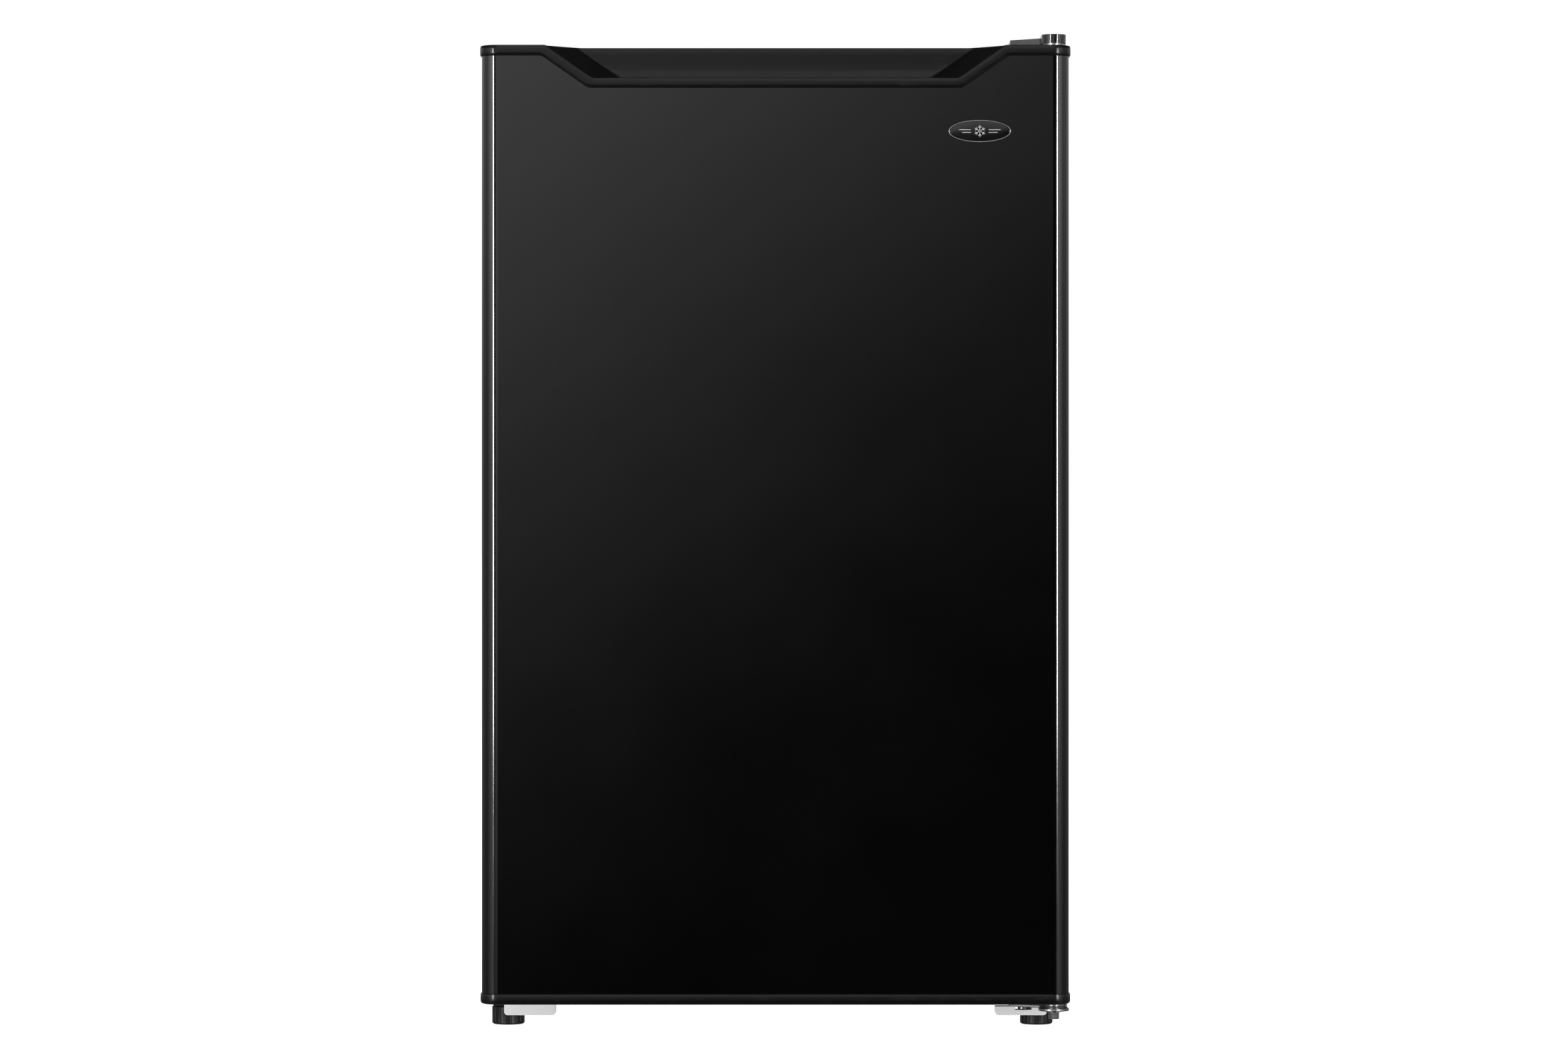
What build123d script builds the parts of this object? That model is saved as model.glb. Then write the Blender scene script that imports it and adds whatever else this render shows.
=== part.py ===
"""Compact upright fridge of about 120 litres, with one door hinged on its right and a freezer box inside.

Frame: the origin is on the floor under the middle of the whole fridge. +X points to the hinge side,
+Y to the back and +Z up. Every length is in millimetres.
"""

import os
from math import atan2, sin

from build123d import *

os.makedirs("parts", exist_ok=True)

# ---- overall size
WIDTH = 500.0
DEPTH = 530.0
HEIGHT = 845.0
FRONT = -DEPTH / 2
BACK = DEPTH / 2

# ---- sheet and wall thicknesses
SHEET = 0.8
LINER_WALL = 1.5
CAP_WALL = 2.5
TRAY_WALL = 2.0
HINGE_PLATE = 2.2
TOUCH_GAP = 0.3
RUN_GAP = 0.05

# ---- door
DOOR_LOW = 24.0
DOOR_HIGH = 835.0
CAP_PROUD = 1.5
CAP_BAND = 9.2
CAP_CORNER = 15.5
CAP_REAR = FRONT + 48.5
SKIN_HALF = WIDTH / 2 - CAP_PROUD
SKIN_REAR = CAP_REAR - CAP_PROUD
SKIN_RETURN = 14.0
SKIN_TUCK = 3.0
LIP_DEPTH = 8.0

# ---- grip recess in the top of the door: a trapezium that narrows downwards
GRIP_RUN = 38.5 / 26.7
GRIP_HALF_TOP = 193.5
GRIP_LIP_HIGH = DOOR_HIGH - 27.7
GRIP_FLOOR = DOOR_HIGH - 35.0
GRIP_BACK = FRONT + 30.0
GRIP_INSET = 24.0
GRIP_SWEEP = 16.0
BAND_CORNER = 197.5
BAND_DROP = 36.5

# ---- hinge line
HINGE_X = WIDTH / 2 - 14.0
HINGE_Y = FRONT + 22.0
PIN_R = 4.0
BUSH_R = 6.5
BUSH_LONG = 20.0

# ---- cabinet
CABINET_HALF = 248.0
CABINET_LOW = 20.0
CABINET_HIGH = 836.0
CABINET_FRONT = FRONT + 59.0
CABINET_BACK = BACK - 30.0
FACE_FOLD = 22.0
BASE_LOW = 34.0
RAIL_SHEET = 1.2
BAY_FRONT = 95.0
BAY_HIGH = 200.0

# ---- food compartment
ROOM_HALF = 210.0
ROOM_LOW = 65.0
ROOM_HIGH = 791.0
ROOM_BACK = 190.0
HUMP_FRONT = 55.0
HUMP_HIGH = 240.0
LEDGE_DEEP = 6.0
LEDGE_HIGH = 5.0
SHELF_FRONT = -100.0
SHELF_HALF = 207.0
GLASS = 4.0
COVER_LEVEL = 243.0
SHELF_LEVELS = (345.0, 455.0)
SPARE_LEVELS = (290.0, 400.0, 510.0)

# ---- freezer box, its flap and the drip tray under it
FREEZER_HALF = 200.0
FREEZER_LOW = 648.0
FREEZER_HIGH = 782.0
FREEZER_FRONT = -89.0
FREEZER_BACK = 180.0
FREEZER_SHEET = 1.6
FLAP_PIN_Y = -101.5
FLAP_PIN_Z = 651.0
FLAP_PIN_R = 2.0
TRAY_LOW = 606.0
TRAY_LIP = 626.5

# ---- thermostat, on the hinge-side wall
DIAL_Y = -30.0
DIAL_Z = 569.0
DIAL_R = 19.0
DIAL_FACE = 160.0
DIAL_FOOT = 175.0
BUTTON_R = 5.5

# ---- door inside: a raised panel with two upright dikes that carry the racks
PANEL_HALF = 205.0
PANEL_LOW = 70.0
PANEL_HIGH = 786.0
PANEL_REAR = -200.0
DIKE_IN = 174.0
DIKE_OUT = 198.0
DIKE_LOW = 75.0
DIKE_HIGH = 600.0
DIKE_REAR = -165.0
RACK_REAR = -135.0

# ---- levelling feet
LEFT_FOOT_X = -230.0
RIGHT_FOOT_X = 224.6
FOOT_Y = -170.0
FOOT_R = 14.0
FOOT_HIGH = 16.0
STEM_R = 4.0
STEM_TOP = BASE_LOW - 0.5


def write(builder, label):
    """Labels a finished piece and writes its STEP file."""
    builder.part.label = label
    export_step(builder.part, f"parts/{label}.step")


def door_outline(inset):
    """Plan of the door, drawn in from the end caps' outer edge by inset: large front corners, small rear ones."""
    half = WIDTH / 2 - inset
    front, rear = FRONT + inset, CAP_REAR - inset
    with BuildSketch() as outline:
        with Locations((0, (front + rear) / 2)):
            Rectangle(2 * half, rear - front)
        fillet(outline.vertices().group_by(Axis.Y)[0], CAP_CORNER - inset)
        fillet(outline.vertices().group_by(Axis.Y)[-1], 2.0)
    return outline.sketch


def fill(x, y, z, mode=Mode.ADD):
    """A box in the open part, between the lowest and highest x, y and z given."""
    with Locations(((x[0] + x[1]) / 2, (y[0] + y[1]) / 2, (z[0] + z[1]) / 2)):
        Box(x[1] - x[0], y[1] - y[0], z[1] - z[0], mode=mode)


def grip_half(height, inset=0.0):
    """Half the width of the grip recess at a height above the floor."""
    return GRIP_HALF_TOP - inset - (DOOR_HIGH - height) * GRIP_RUN


def grip_pocket(grow, top):
    """The hollow behind the door's lip: its sides slant inwards and its back sweeps forward into the floor."""
    wider = grow / sin(atan2(1, GRIP_RUN))
    floor = GRIP_FLOOR - grow
    with BuildPart() as pocket:
        for y, inset in ((FRONT + LIP_DEPTH - grow, 0.0), (GRIP_BACK + grow, GRIP_INSET)):
            with BuildSketch(Plane.XZ.offset(-y)):
                high, low = grip_half(top, inset) + wider, grip_half(floor, inset) + wider
                Polygon((-high, top), (high, top), (low, floor), (-low, floor), align=None)
        loft()
        fillet(pocket.edges().group_by(Axis.Z)[0].sort_by(Axis.Y)[-1], GRIP_SWEEP + grow)
    return pocket.part


# ======================================================================= door: outer skin
with BuildPart() as door_skin:
    with BuildSketch(Plane.XY.offset(DOOR_LOW + SKIN_TUCK)):
        add(door_outline(CAP_PROUD))
        add(door_outline(CAP_PROUD + SHEET), mode=Mode.SUBTRACT)
        with Locations((0, SKIN_REAR)):
            Rectangle(2 * (SKIN_HALF - SKIN_RETURN), 6 * SHEET, mode=Mode.SUBTRACT)
    extrude(amount=DOOR_HIGH - DOOR_LOW - 2 * SKIN_TUCK)
    # the front edge dips under the grip, tucked behind the cap's band
    dip_low = DOOR_HIGH - BAND_DROP + SKIN_TUCK
    dip_side = DOOR_HIGH - CAP_BAND + SKIN_TUCK
    dip_run = (dip_side - dip_low) * GRIP_RUN
    with BuildSketch(Plane.XZ.offset(-FRONT)):
        Polygon(
            (-BAND_CORNER, dip_side),
            (-BAND_CORNER + dip_run, dip_low),
            (BAND_CORNER - dip_run, dip_low),
            (BAND_CORNER, dip_side),
            (BAND_CORNER, DOOR_HIGH),
            (-BAND_CORNER, DOOR_HIGH),
            align=None,
        )
    extrude(amount=-LIP_DEPTH, mode=Mode.SUBTRACT)
write(door_skin, "door_skin")

# ======================================================================= door: end caps
with BuildPart() as door_top_cap:
    with BuildSketch(Plane.XY.offset(DOOR_HIGH - CAP_BAND)):
        add(door_outline(0))
    extrude(amount=CAP_BAND)
    with BuildSketch(Plane.XY.offset(DOOR_HIGH - CAP_BAND)):
        add(door_outline(2.4 * CAP_WALL))
    extrude(amount=CAP_BAND - CAP_WALL, mode=Mode.SUBTRACT)
    # band that dips under the grip
    band_run = (BAND_DROP - CAP_BAND) * GRIP_RUN
    with BuildSketch(Plane.XZ.offset(-FRONT)):
        Polygon(
            (-BAND_CORNER, DOOR_HIGH - CAP_BAND),
            (-BAND_CORNER + band_run, DOOR_HIGH - BAND_DROP),
            (BAND_CORNER - band_run, DOOR_HIGH - BAND_DROP),
            (BAND_CORNER, DOOR_HIGH - CAP_BAND),
            (BAND_CORNER, DOOR_HIGH),
            (-BAND_CORNER, DOOR_HIGH),
            align=None,
        )
    extrude(amount=-LIP_DEPTH)
    # wall round the grip recess, then the recess itself
    add(grip_pocket(CAP_WALL, DOOR_HIGH))
    add(grip_pocket(0.0, DOOR_HIGH + 4), mode=Mode.SUBTRACT)
    with BuildSketch(Plane.XZ.offset(-FRONT + 1)):
        opening_high, opening_low = grip_half(DOOR_HIGH + 4), grip_half(GRIP_LIP_HIGH)
        Polygon(
            (-opening_high, DOOR_HIGH + 4),
            (opening_high, DOOR_HIGH + 4),
            (opening_low, GRIP_LIP_HIGH),
            (-opening_low, GRIP_LIP_HIGH),
            align=None,
        )
    extrude(amount=-LIP_DEPTH - 1.5, mode=Mode.SUBTRACT)
    # sockets for the hinge bush, one on each side so that the door can be rehung
    with BuildSketch(Plane.XY.offset(DOOR_HIGH - BUSH_LONG)):
        with Locations((HINGE_X, HINGE_Y), (-HINGE_X, HINGE_Y)):
            Circle(BUSH_R + CAP_WALL)
    extrude(amount=BUSH_LONG)
    with BuildSketch(Plane.XY.offset(DOOR_HIGH - BUSH_LONG)):
        with Locations((HINGE_X, HINGE_Y), (-HINGE_X, HINGE_Y)):
            Circle(BUSH_R)
    extrude(amount=BUSH_LONG, mode=Mode.SUBTRACT)
    add(door_skin.part, mode=Mode.SUBTRACT)
write(door_top_cap, "door_top_cap")

with BuildPart() as door_bottom_cap:
    with BuildSketch(Plane.XY.offset(DOOR_LOW)):
        add(door_outline(0))
    extrude(amount=CAP_BAND)
    with BuildSketch(Plane.XY.offset(DOOR_LOW + CAP_WALL)):
        add(door_outline(2.4 * CAP_WALL))
    extrude(amount=CAP_BAND, mode=Mode.SUBTRACT)
    with BuildSketch(Plane.XY.offset(DOOR_LOW)):
        with Locations((HINGE_X, HINGE_Y), (-HINGE_X, HINGE_Y)):
            Circle(BUSH_R + CAP_WALL)
    extrude(amount=BUSH_LONG)
    with BuildSketch(Plane.XY.offset(DOOR_LOW)):
        with Locations((HINGE_X, HINGE_Y), (-HINGE_X, HINGE_Y)):
            Circle(BUSH_R)
    extrude(amount=BUSH_LONG, mode=Mode.SUBTRACT)
    add(door_skin.part, mode=Mode.SUBTRACT)
write(door_bottom_cap, "door_bottom_cap")

# ======================================================================= door: bushes and hole plugs
FLANGE_R = 8.8
FLANGE_THICK = 0.6
for label, cap_face, inward in (("upper", DOOR_HIGH, -1), ("lower", DOOR_LOW, 1)):
    with BuildPart() as bush:
        with BuildSketch(Plane.XY.offset(cap_face)):
            with Locations((HINGE_X, HINGE_Y)):
                Circle(BUSH_R)
        extrude(amount=inward * BUSH_LONG)
        with BuildSketch(Plane.XY.offset(cap_face)):
            with Locations((HINGE_X, HINGE_Y)):
                Circle(FLANGE_R)
        extrude(amount=-inward * FLANGE_THICK)
        with BuildSketch(Plane.XY.offset(cap_face - inward * 2)):
            with Locations((HINGE_X, HINGE_Y)):
                Circle(PIN_R + RUN_GAP)
        extrude(amount=inward * (BUSH_LONG + 4), mode=Mode.SUBTRACT)
    write(bush, f"door_{label}_bush")

with BuildPart() as door_hole_plugs:
    for cap_face, inward in ((DOOR_HIGH, -1), (DOOR_LOW, 1)):
        with BuildSketch(Plane.XY.offset(cap_face)):
            with Locations((-HINGE_X, HINGE_Y)):
                Circle(BUSH_R)
        extrude(amount=inward * 8)
        with BuildSketch(Plane.XY.offset(cap_face)):
            with Locations((-HINGE_X, HINGE_Y)):
                Circle(FLANGE_R)
        extrude(amount=-inward * FLANGE_THICK)
write(door_hole_plugs, "door_hole_plugs")

# ======================================================================= door: nameplate, left blank
PLATE_X, PLATE_Z, PLATE_LONG, PLATE_HIGH = 172.6, 762.0, 52.6, 18.6
PLATE_FRONT = FRONT + CAP_PROUD
with BuildPart() as nameplate:
    with BuildSketch(Plane.XZ.offset(-PLATE_FRONT)):
        with Locations((PLATE_X, PLATE_Z)):
            Ellipse(PLATE_LONG / 2 - 1, PLATE_HIGH / 2 - 1)
    extrude(amount=0.8)
write(nameplate, "nameplate")

with BuildPart() as nameplate_rim:
    with BuildSketch(Plane.XZ.offset(-PLATE_FRONT)):
        with Locations((PLATE_X, PLATE_Z)):
            Ellipse(PLATE_LONG / 2, PLATE_HIGH / 2)
            Ellipse(PLATE_LONG / 2 - 1, PLATE_HIGH / 2 - 1, mode=Mode.SUBTRACT)
    extrude(amount=1.1)
write(nameplate_rim, "nameplate_rim")


# ======================================================================= door: inner panel and foam
def door_tub(inset):
    """The raised inner panel with its two dikes, drawn in by inset on every face that shows."""
    with BuildPart() as tub:
        half = PANEL_HALF - inset
        fill((-half, half), (SKIN_REAR, PANEL_REAR - inset), (PANEL_LOW + inset, PANEL_HIGH - inset))
        fillet(tub.edges().filter_by(Axis.Y), 12.0 - inset)
        with Locations(*((side * (DIKE_IN + DIKE_OUT) / 2, 0, 0) for side in (-1, 1))):
            with Locations((0, (SKIN_REAR + DIKE_REAR - inset) / 2, (DIKE_LOW + DIKE_HIGH) / 2)):
                Box(
                    DIKE_OUT - DIKE_IN - 2 * inset,
                    DIKE_REAR - inset - SKIN_REAR,
                    DIKE_HIGH - DIKE_LOW - 2 * inset,
                )
    return tub.part


FLANGE_HALF = 240.0
FLANGE_LOW = 36.0
FLANGE_HIGH = 823.0
DOOR_LINER = 1.2
RACKS = (("bottle", 85.0, 100.0), ("middle", 300.0, 70.0), ("upper", 490.0, 60.0))
with BuildPart() as door_inner_panel:
    with BuildSketch(Plane.XZ.offset(-SKIN_REAR)):
        with Locations((0, (FLANGE_LOW + FLANGE_HIGH) / 2)):
            RectangleRounded(2 * FLANGE_HALF, FLANGE_HIGH - FLANGE_LOW, 8)
    extrude(amount=-DOOR_LINER)
    add(door_tub(0))
    add(door_tub(DOOR_LINER), mode=Mode.SUBTRACT)
    # ledges on the dikes that the racks hang on
    for _, rack_low, _ in RACKS:
        for side in (-1, 1):
            with Locations((side * (DIKE_IN - 1.5), (PANEL_REAR + DIKE_REAR) / 2, rack_low - 3)):
                Box(3, 30, 5.4)
write(door_inner_panel, "door_inner_panel")

with BuildPart() as door_foam:
    with BuildSketch(Plane.XY.offset(DOOR_LOW + CAP_WALL)):
        add(door_outline(CAP_PROUD + SHEET))
    extrude(amount=DOOR_HIGH - DOOR_LOW - 2 * CAP_WALL)
    with BuildSketch(Plane.XZ.offset(-SKIN_REAR + SHEET)):
        with Locations((0, (FLANGE_LOW + FLANGE_HIGH) / 2)):
            Rectangle(2 * (SKIN_HALF - SKIN_RETURN), FLANGE_HIGH - FLANGE_LOW - 2)
    extrude(amount=-SHEET)
    add(door_tub(DOOR_LINER))
    add(grip_pocket(CAP_WALL, DOOR_HIGH + 4), mode=Mode.SUBTRACT)
    for neighbour in (door_top_cap, door_bottom_cap, door_skin):
        add(neighbour.part, mode=Mode.SUBTRACT)
    for cap_face, inward in ((DOOR_HIGH, -1), (DOOR_LOW, 1)):
        with BuildSketch(Plane.XY.offset(cap_face)):
            with Locations((HINGE_X, HINGE_Y), (-HINGE_X, HINGE_Y)):
                Circle(BUSH_R + CAP_WALL)
        extrude(amount=inward * (BUSH_LONG + 3), mode=Mode.SUBTRACT)
    # the foam is one casting: what the lip cuts loose in front of the grip is dropped
    keep = door_foam.solids().sort_by(SortBy.VOLUME)[-1]
    add(keep, mode=Mode.INTERSECT)
write(door_foam, "door_foam")

# ======================================================================= door: gasket with its magnet strips
GASKET_OUT, GASKET_IN = 235.0, 213.0
GASKET_LOW, GASKET_HIGH = 40.0, 819.0
GASKET_WIDE = GASKET_OUT - GASKET_IN
gasket_front = SKIN_REAR + DOOR_LINER
gasket_back = CABINET_FRONT - TOUCH_GAP
magnet_low = gasket_back - 4.5
magnet_high = gasket_back - 1.0
with BuildPart() as door_gasket:
    with BuildSketch(Plane.XZ.offset(-gasket_front)):
        with Locations((0, (GASKET_LOW + GASKET_HIGH) / 2)):
            RectangleRounded(2 * GASKET_OUT, GASKET_HIGH - GASKET_LOW, 6)
            Rectangle(2 * GASKET_IN, GASKET_HIGH - GASKET_LOW - 2 * GASKET_WIDE, mode=Mode.SUBTRACT)
    extrude(amount=-(gasket_back - gasket_front))
    # bellows groove round the outside and the channel that holds the magnets
    for outset, low, high in ((4.0, gasket_front + 3, gasket_front + 6), (None, magnet_low, magnet_high)):
        with BuildSketch(Plane.XZ.offset(-low)):
            with Locations((0, (GASKET_LOW + GASKET_HIGH) / 2)):
                if outset:
                    Rectangle(2 * GASKET_OUT + 2, GASKET_HIGH - GASKET_LOW + 2)
                    Rectangle(
                        2 * (GASKET_OUT - outset), GASKET_HIGH - GASKET_LOW - 2 * outset, mode=Mode.SUBTRACT
                    )
                else:
                    Rectangle(2 * GASKET_OUT - 12, GASKET_HIGH - GASKET_LOW - 12)
                    Rectangle(2 * GASKET_OUT - 30, GASKET_HIGH - GASKET_LOW - 30, mode=Mode.SUBTRACT)
        extrude(amount=-(high - low), mode=Mode.SUBTRACT)
write(door_gasket, "door_gasket")

with BuildPart() as gasket_magnets:
    with BuildSketch(Plane.XZ.offset(-magnet_low)):
        with Locations((0, (GASKET_LOW + GASKET_HIGH) / 2)):
            Rectangle(2 * GASKET_OUT - 12, GASKET_HIGH - GASKET_LOW - 12)
            Rectangle(2 * GASKET_OUT - 30, GASKET_HIGH - GASKET_LOW - 30, mode=Mode.SUBTRACT)
    extrude(amount=-(magnet_high - magnet_low))
write(gasket_magnets, "gasket_magnets")

# ======================================================================= door: racks
RACK_HALF = DIKE_IN - 0.5
RACK_WALL = 2.0
for label, rack_low, rack_high in RACKS:
    with BuildPart() as rack:
        with BuildSketch(Plane.XY.offset(rack_low)):
            with Locations((0, (PANEL_REAR + 0.5 + RACK_REAR) / 2)):
                RectangleRounded(2 * RACK_HALF, RACK_REAR - PANEL_REAR - 0.5, 5)
        extrude(amount=rack_high)
        with BuildSketch(Plane.XY.offset(rack_low + RACK_WALL)):
            with Locations((0, (PANEL_REAR + 0.5 + RACK_REAR) / 2)):
                RectangleRounded(
                    2 * (RACK_HALF - RACK_WALL), RACK_REAR - PANEL_REAR - 0.5 - 2 * RACK_WALL, 3.5
                )
        extrude(amount=rack_high, mode=Mode.SUBTRACT)
        # the panel side is cut low, so that the shelf is open towards the door
        with Locations((0, PANEL_REAR, rack_low + rack_high / 2 + 12)):
            Box(2 * (RACK_HALF - 14), 12, rack_high, mode=Mode.SUBTRACT)
    write(rack, f"door_{label}_rack")

# ======================================================================= cabinet: steel
with BuildPart() as cabinet_wrapper:
    with BuildSketch(Plane.XZ.offset(-CABINET_FRONT)):
        with Locations((0, (CABINET_LOW + CABINET_HIGH) / 2)):
            Rectangle(2 * CABINET_HALF, CABINET_HIGH - CABINET_LOW)
    extrude(amount=-(CABINET_BACK - CABINET_FRONT))
    fillet(cabinet_wrapper.edges().filter_by(Axis.Y).group_by(Axis.Z)[-1], 5.0)
    # hollow from behind, which leaves the front closed, then open the front inside its fold
    with BuildSketch(Plane.XZ.offset(-CABINET_FRONT - SHEET)) as hollow:
        with Locations((0, (CABINET_LOW + CABINET_HIGH) / 2 - SHEET)):
            Rectangle(2 * (CABINET_HALF - SHEET), CABINET_HIGH - CABINET_LOW)
        fillet(hollow.vertices().group_by(Axis.Y)[-1], 5.0 - SHEET)
    extrude(amount=-(CABINET_BACK - CABINET_FRONT), mode=Mode.SUBTRACT)
    inside = CABINET_HALF - FACE_FOLD
    fill(
        (-inside, inside),
        (CABINET_FRONT - 1, CABINET_FRONT + 2),
        (CABINET_LOW - 1, CABINET_HIGH - FACE_FOLD),
        Mode.SUBTRACT,
    )
    # the fold stops where the front rail begins
    rail_half = CABINET_HALF - SHEET
    fill(
        (-rail_half, rail_half),
        (CABINET_FRONT - 1, CABINET_FRONT + 2),
        (CABINET_LOW - 1, CABINET_LOW + 24),
        Mode.SUBTRACT,
    )
write(cabinet_wrapper, "cabinet_wrapper")

PANEL_IN = CABINET_HALF - SHEET
with BuildPart() as rear_panel:
    fill((-PANEL_IN, PANEL_IN), (CABINET_BACK - SHEET, CABINET_BACK), (BAY_HIGH, CABINET_HIGH - SHEET))
    fillet(rear_panel.edges().filter_by(Axis.Y).group_by(Axis.Z)[-1], 5.0 - SHEET)
write(rear_panel, "rear_panel")

with BuildPart() as base_plate:
    fill((-PANEL_IN, PANEL_IN), (CABINET_FRONT + RAIL_SHEET, BAY_FRONT), (BASE_LOW, BASE_LOW + SHEET))
    fill((-PANEL_IN, PANEL_IN), (BAY_FRONT - SHEET, BAY_FRONT), (BASE_LOW, BAY_HIGH))
    fill((-PANEL_IN, PANEL_IN), (BAY_FRONT - SHEET, CABINET_BACK), (BAY_HIGH - SHEET, BAY_HIGH))
write(base_plate, "base_plate")

NUT_HIGH = 5.0
with BuildPart() as front_rail:
    fill((-PANEL_IN, PANEL_IN), (CABINET_FRONT, CABINET_FRONT + RAIL_SHEET), (CABINET_LOW, CABINET_LOW + 24))
    fill((-PANEL_IN, PANEL_IN), (CABINET_FRONT, -150), (CABINET_LOW, CABINET_LOW + RAIL_SHEET))
    # nuts pressed in for the levelling feet
    with BuildSketch(Plane.XY.offset(CABINET_LOW)):
        with Locations((LEFT_FOOT_X, FOOT_Y), (RIGHT_FOOT_X, FOOT_Y)):
            RegularPolygon(STEM_R + 4, 6)
    extrude(amount=RAIL_SHEET + NUT_HIGH)
    with BuildSketch(Plane.XY.offset(CABINET_LOW - 1)):
        with Locations((LEFT_FOOT_X, FOOT_Y), (RIGHT_FOOT_X, FOOT_Y)):
            Circle(STEM_R + RUN_GAP)
    extrude(amount=NUT_HIGH + 4, mode=Mode.SUBTRACT)
write(front_rail, "front_rail")


# ======================================================================= cabinet: inner liner and foam
def room(grow):
    """The food compartment with its step over the compressor bay, grown by grow on every closed side."""
    low, high = ROOM_LOW - grow, ROOM_HIGH + grow
    step, back = HUMP_FRONT + grow, ROOM_BACK + grow
    with BuildPart() as hollow:
        with BuildSketch(Plane.YZ.offset(-ROOM_HALF - grow)):
            Polygon(
                (CABINET_FRONT - 1, low),
                (step, low),
                (step, HUMP_HIGH - grow),
                (back, HUMP_HIGH - grow),
                (back, high),
                (CABINET_FRONT - 1, high),
                align=None,
            )
        extrude(amount=2 * (ROOM_HALF + grow))
        fillet(hollow.edges().filter_by(Axis.Z).group_by(Axis.Y)[-1], 8.0 + grow)
        fillet(hollow.edges().filter_by(Axis.Y).group_by(Axis.Z)[-1], 8.0 + grow)
    return hollow.part


LINER_FOLD = CABINET_HALF - FACE_FOLD
with BuildPart() as inner_liner:
    fill(
        (-LINER_FOLD, LINER_FOLD),
        (CABINET_FRONT, CABINET_FRONT + LINER_WALL),
        (CABINET_LOW + 24, CABINET_HIGH - FACE_FOLD),
    )
    add(room(LINER_WALL))
    fill((-300, 300), (CABINET_FRONT - 5, CABINET_FRONT), (0, HEIGHT), Mode.SUBTRACT)
    add(room(0), mode=Mode.SUBTRACT)
    for level in (COVER_LEVEL, *SHELF_LEVELS, *SPARE_LEVELS):
        for side in (-1, 1):
            with Locations((side * (ROOM_HALF - LEDGE_DEEP / 2), -20, level - LEDGE_HIGH / 2)):
                Box(LEDGE_DEEP, 340, LEDGE_HIGH)
write(inner_liner, "inner_liner")

with BuildPart() as cabinet_foam:
    fill((-PANEL_IN, PANEL_IN), (CABINET_FRONT, CABINET_BACK), (BASE_LOW, CABINET_HIGH - SHEET))
    fillet(cabinet_foam.edges().filter_by(Axis.Y).group_by(Axis.Z)[-1], 5.0 - SHEET)
    fill((-300, 300), (BAY_FRONT - SHEET, BACK), (0, BAY_HIGH), Mode.SUBTRACT)
    add(room(LINER_WALL), mode=Mode.SUBTRACT)
    for neighbour in (cabinet_wrapper, rear_panel, base_plate, front_rail, inner_liner):
        add(neighbour.part, mode=Mode.SUBTRACT)
    core = cabinet_foam.solids().sort_by(SortBy.VOLUME)[-1]
    add(core, mode=Mode.INTERSECT)
write(cabinet_foam, "cabinet_foam")

# ======================================================================= top hinge
NOSE_R = 9.0
COVER_NOSE_R = 10.3
COVER_LEFT = 201.0
COVER_RIGHT = HINGE_X + COVER_NOSE_R
COVER_REAR = -138.0
COVER_NOSE_LOW = CABINET_HIGH + 1.4
BRACKET_SCREWS = ((215.0, -188.0), (237.0, -188.0), (226.0, -160.0))
with BuildPart() as upper_hinge_bracket:
    with BuildSketch(Plane.XY.offset(CABINET_HIGH)):
        with Locations((HINGE_X, HINGE_Y)):
            Circle(NOSE_R)
        Polygon(
            (HINGE_X - NOSE_R, HINGE_Y),
            (HINGE_X + NOSE_R, HINGE_Y),
            (HINGE_X + NOSE_R - 1, -150),
            (206, -150),
            (206, -196),
            (HINGE_X - NOSE_R, -208),
            align=None,
        )
        with Locations(*BRACKET_SCREWS):
            Circle(3.0, mode=Mode.SUBTRACT)
    extrude(amount=HINGE_PLATE)
    with BuildSketch(Plane.XY.offset(CABINET_HIGH)):
        with Locations((HINGE_X, HINGE_Y)):
            Circle(PIN_R)
    extrude(amount=-BUSH_LONG + 3)
    chamfer(upper_hinge_bracket.edges().filter_by(GeomType.CIRCLE).group_by(Axis.Z)[0], 1.0)
write(upper_hinge_bracket, "upper_hinge_bracket")

with BuildPart() as hinge_cover:
    with BuildSketch(Plane.XY.offset(CABINET_HIGH)):
        with Locations((HINGE_X, HINGE_Y)):
            Circle(COVER_NOSE_R)
        Polygon(
            (HINGE_X - COVER_NOSE_R, HINGE_Y),
            (COVER_RIGHT, HINGE_Y),
            (COVER_RIGHT, COVER_REAR),
            (COVER_LEFT, COVER_REAR),
            (COVER_LEFT, -197),
            (HINGE_X - COVER_NOSE_R, -210),
            align=None,
        )
    extrude(amount=HEIGHT - CABINET_HIGH)
    # the cover falls away to the left of the nose
    with BuildSketch(Plane.XZ.offset(-HINGE_Y + 20)):
        Polygon(
            (HINGE_X - COVER_NOSE_R, HEIGHT),
            (COVER_LEFT - 2, HEIGHT - 0.5),
            (COVER_LEFT - 2, HEIGHT + 2),
            (HINGE_X - COVER_NOSE_R, HEIGHT + 2),
            align=None,
        )
    extrude(amount=-130, mode=Mode.SUBTRACT)
    # hollow, with room for the bracket and its screws
    with BuildSketch(Plane.XY.offset(CABINET_HIGH)):
        with Locations((HINGE_X, HINGE_Y)):
            Circle(NOSE_R + 0.2)
        Polygon(
            (HINGE_X - NOSE_R - 0.2, HINGE_Y),
            (COVER_RIGHT - 1.1, HINGE_Y),
            (COVER_RIGHT - 1.1, COVER_REAR - 1.6),
            (COVER_LEFT + 1.6, COVER_REAR - 1.6),
            (COVER_LEFT + 1.6, -196),
            (HINGE_X - NOSE_R - 0.2, -208.8),
            align=None,
        )
    extrude(amount=HEIGHT - CABINET_HIGH - 3.6, mode=Mode.SUBTRACT)
    fill((150, 260), (-290, CABINET_FRONT), (CABINET_HIGH - 1, COVER_NOSE_LOW), Mode.SUBTRACT)
write(hinge_cover, "hinge_cover")

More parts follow.
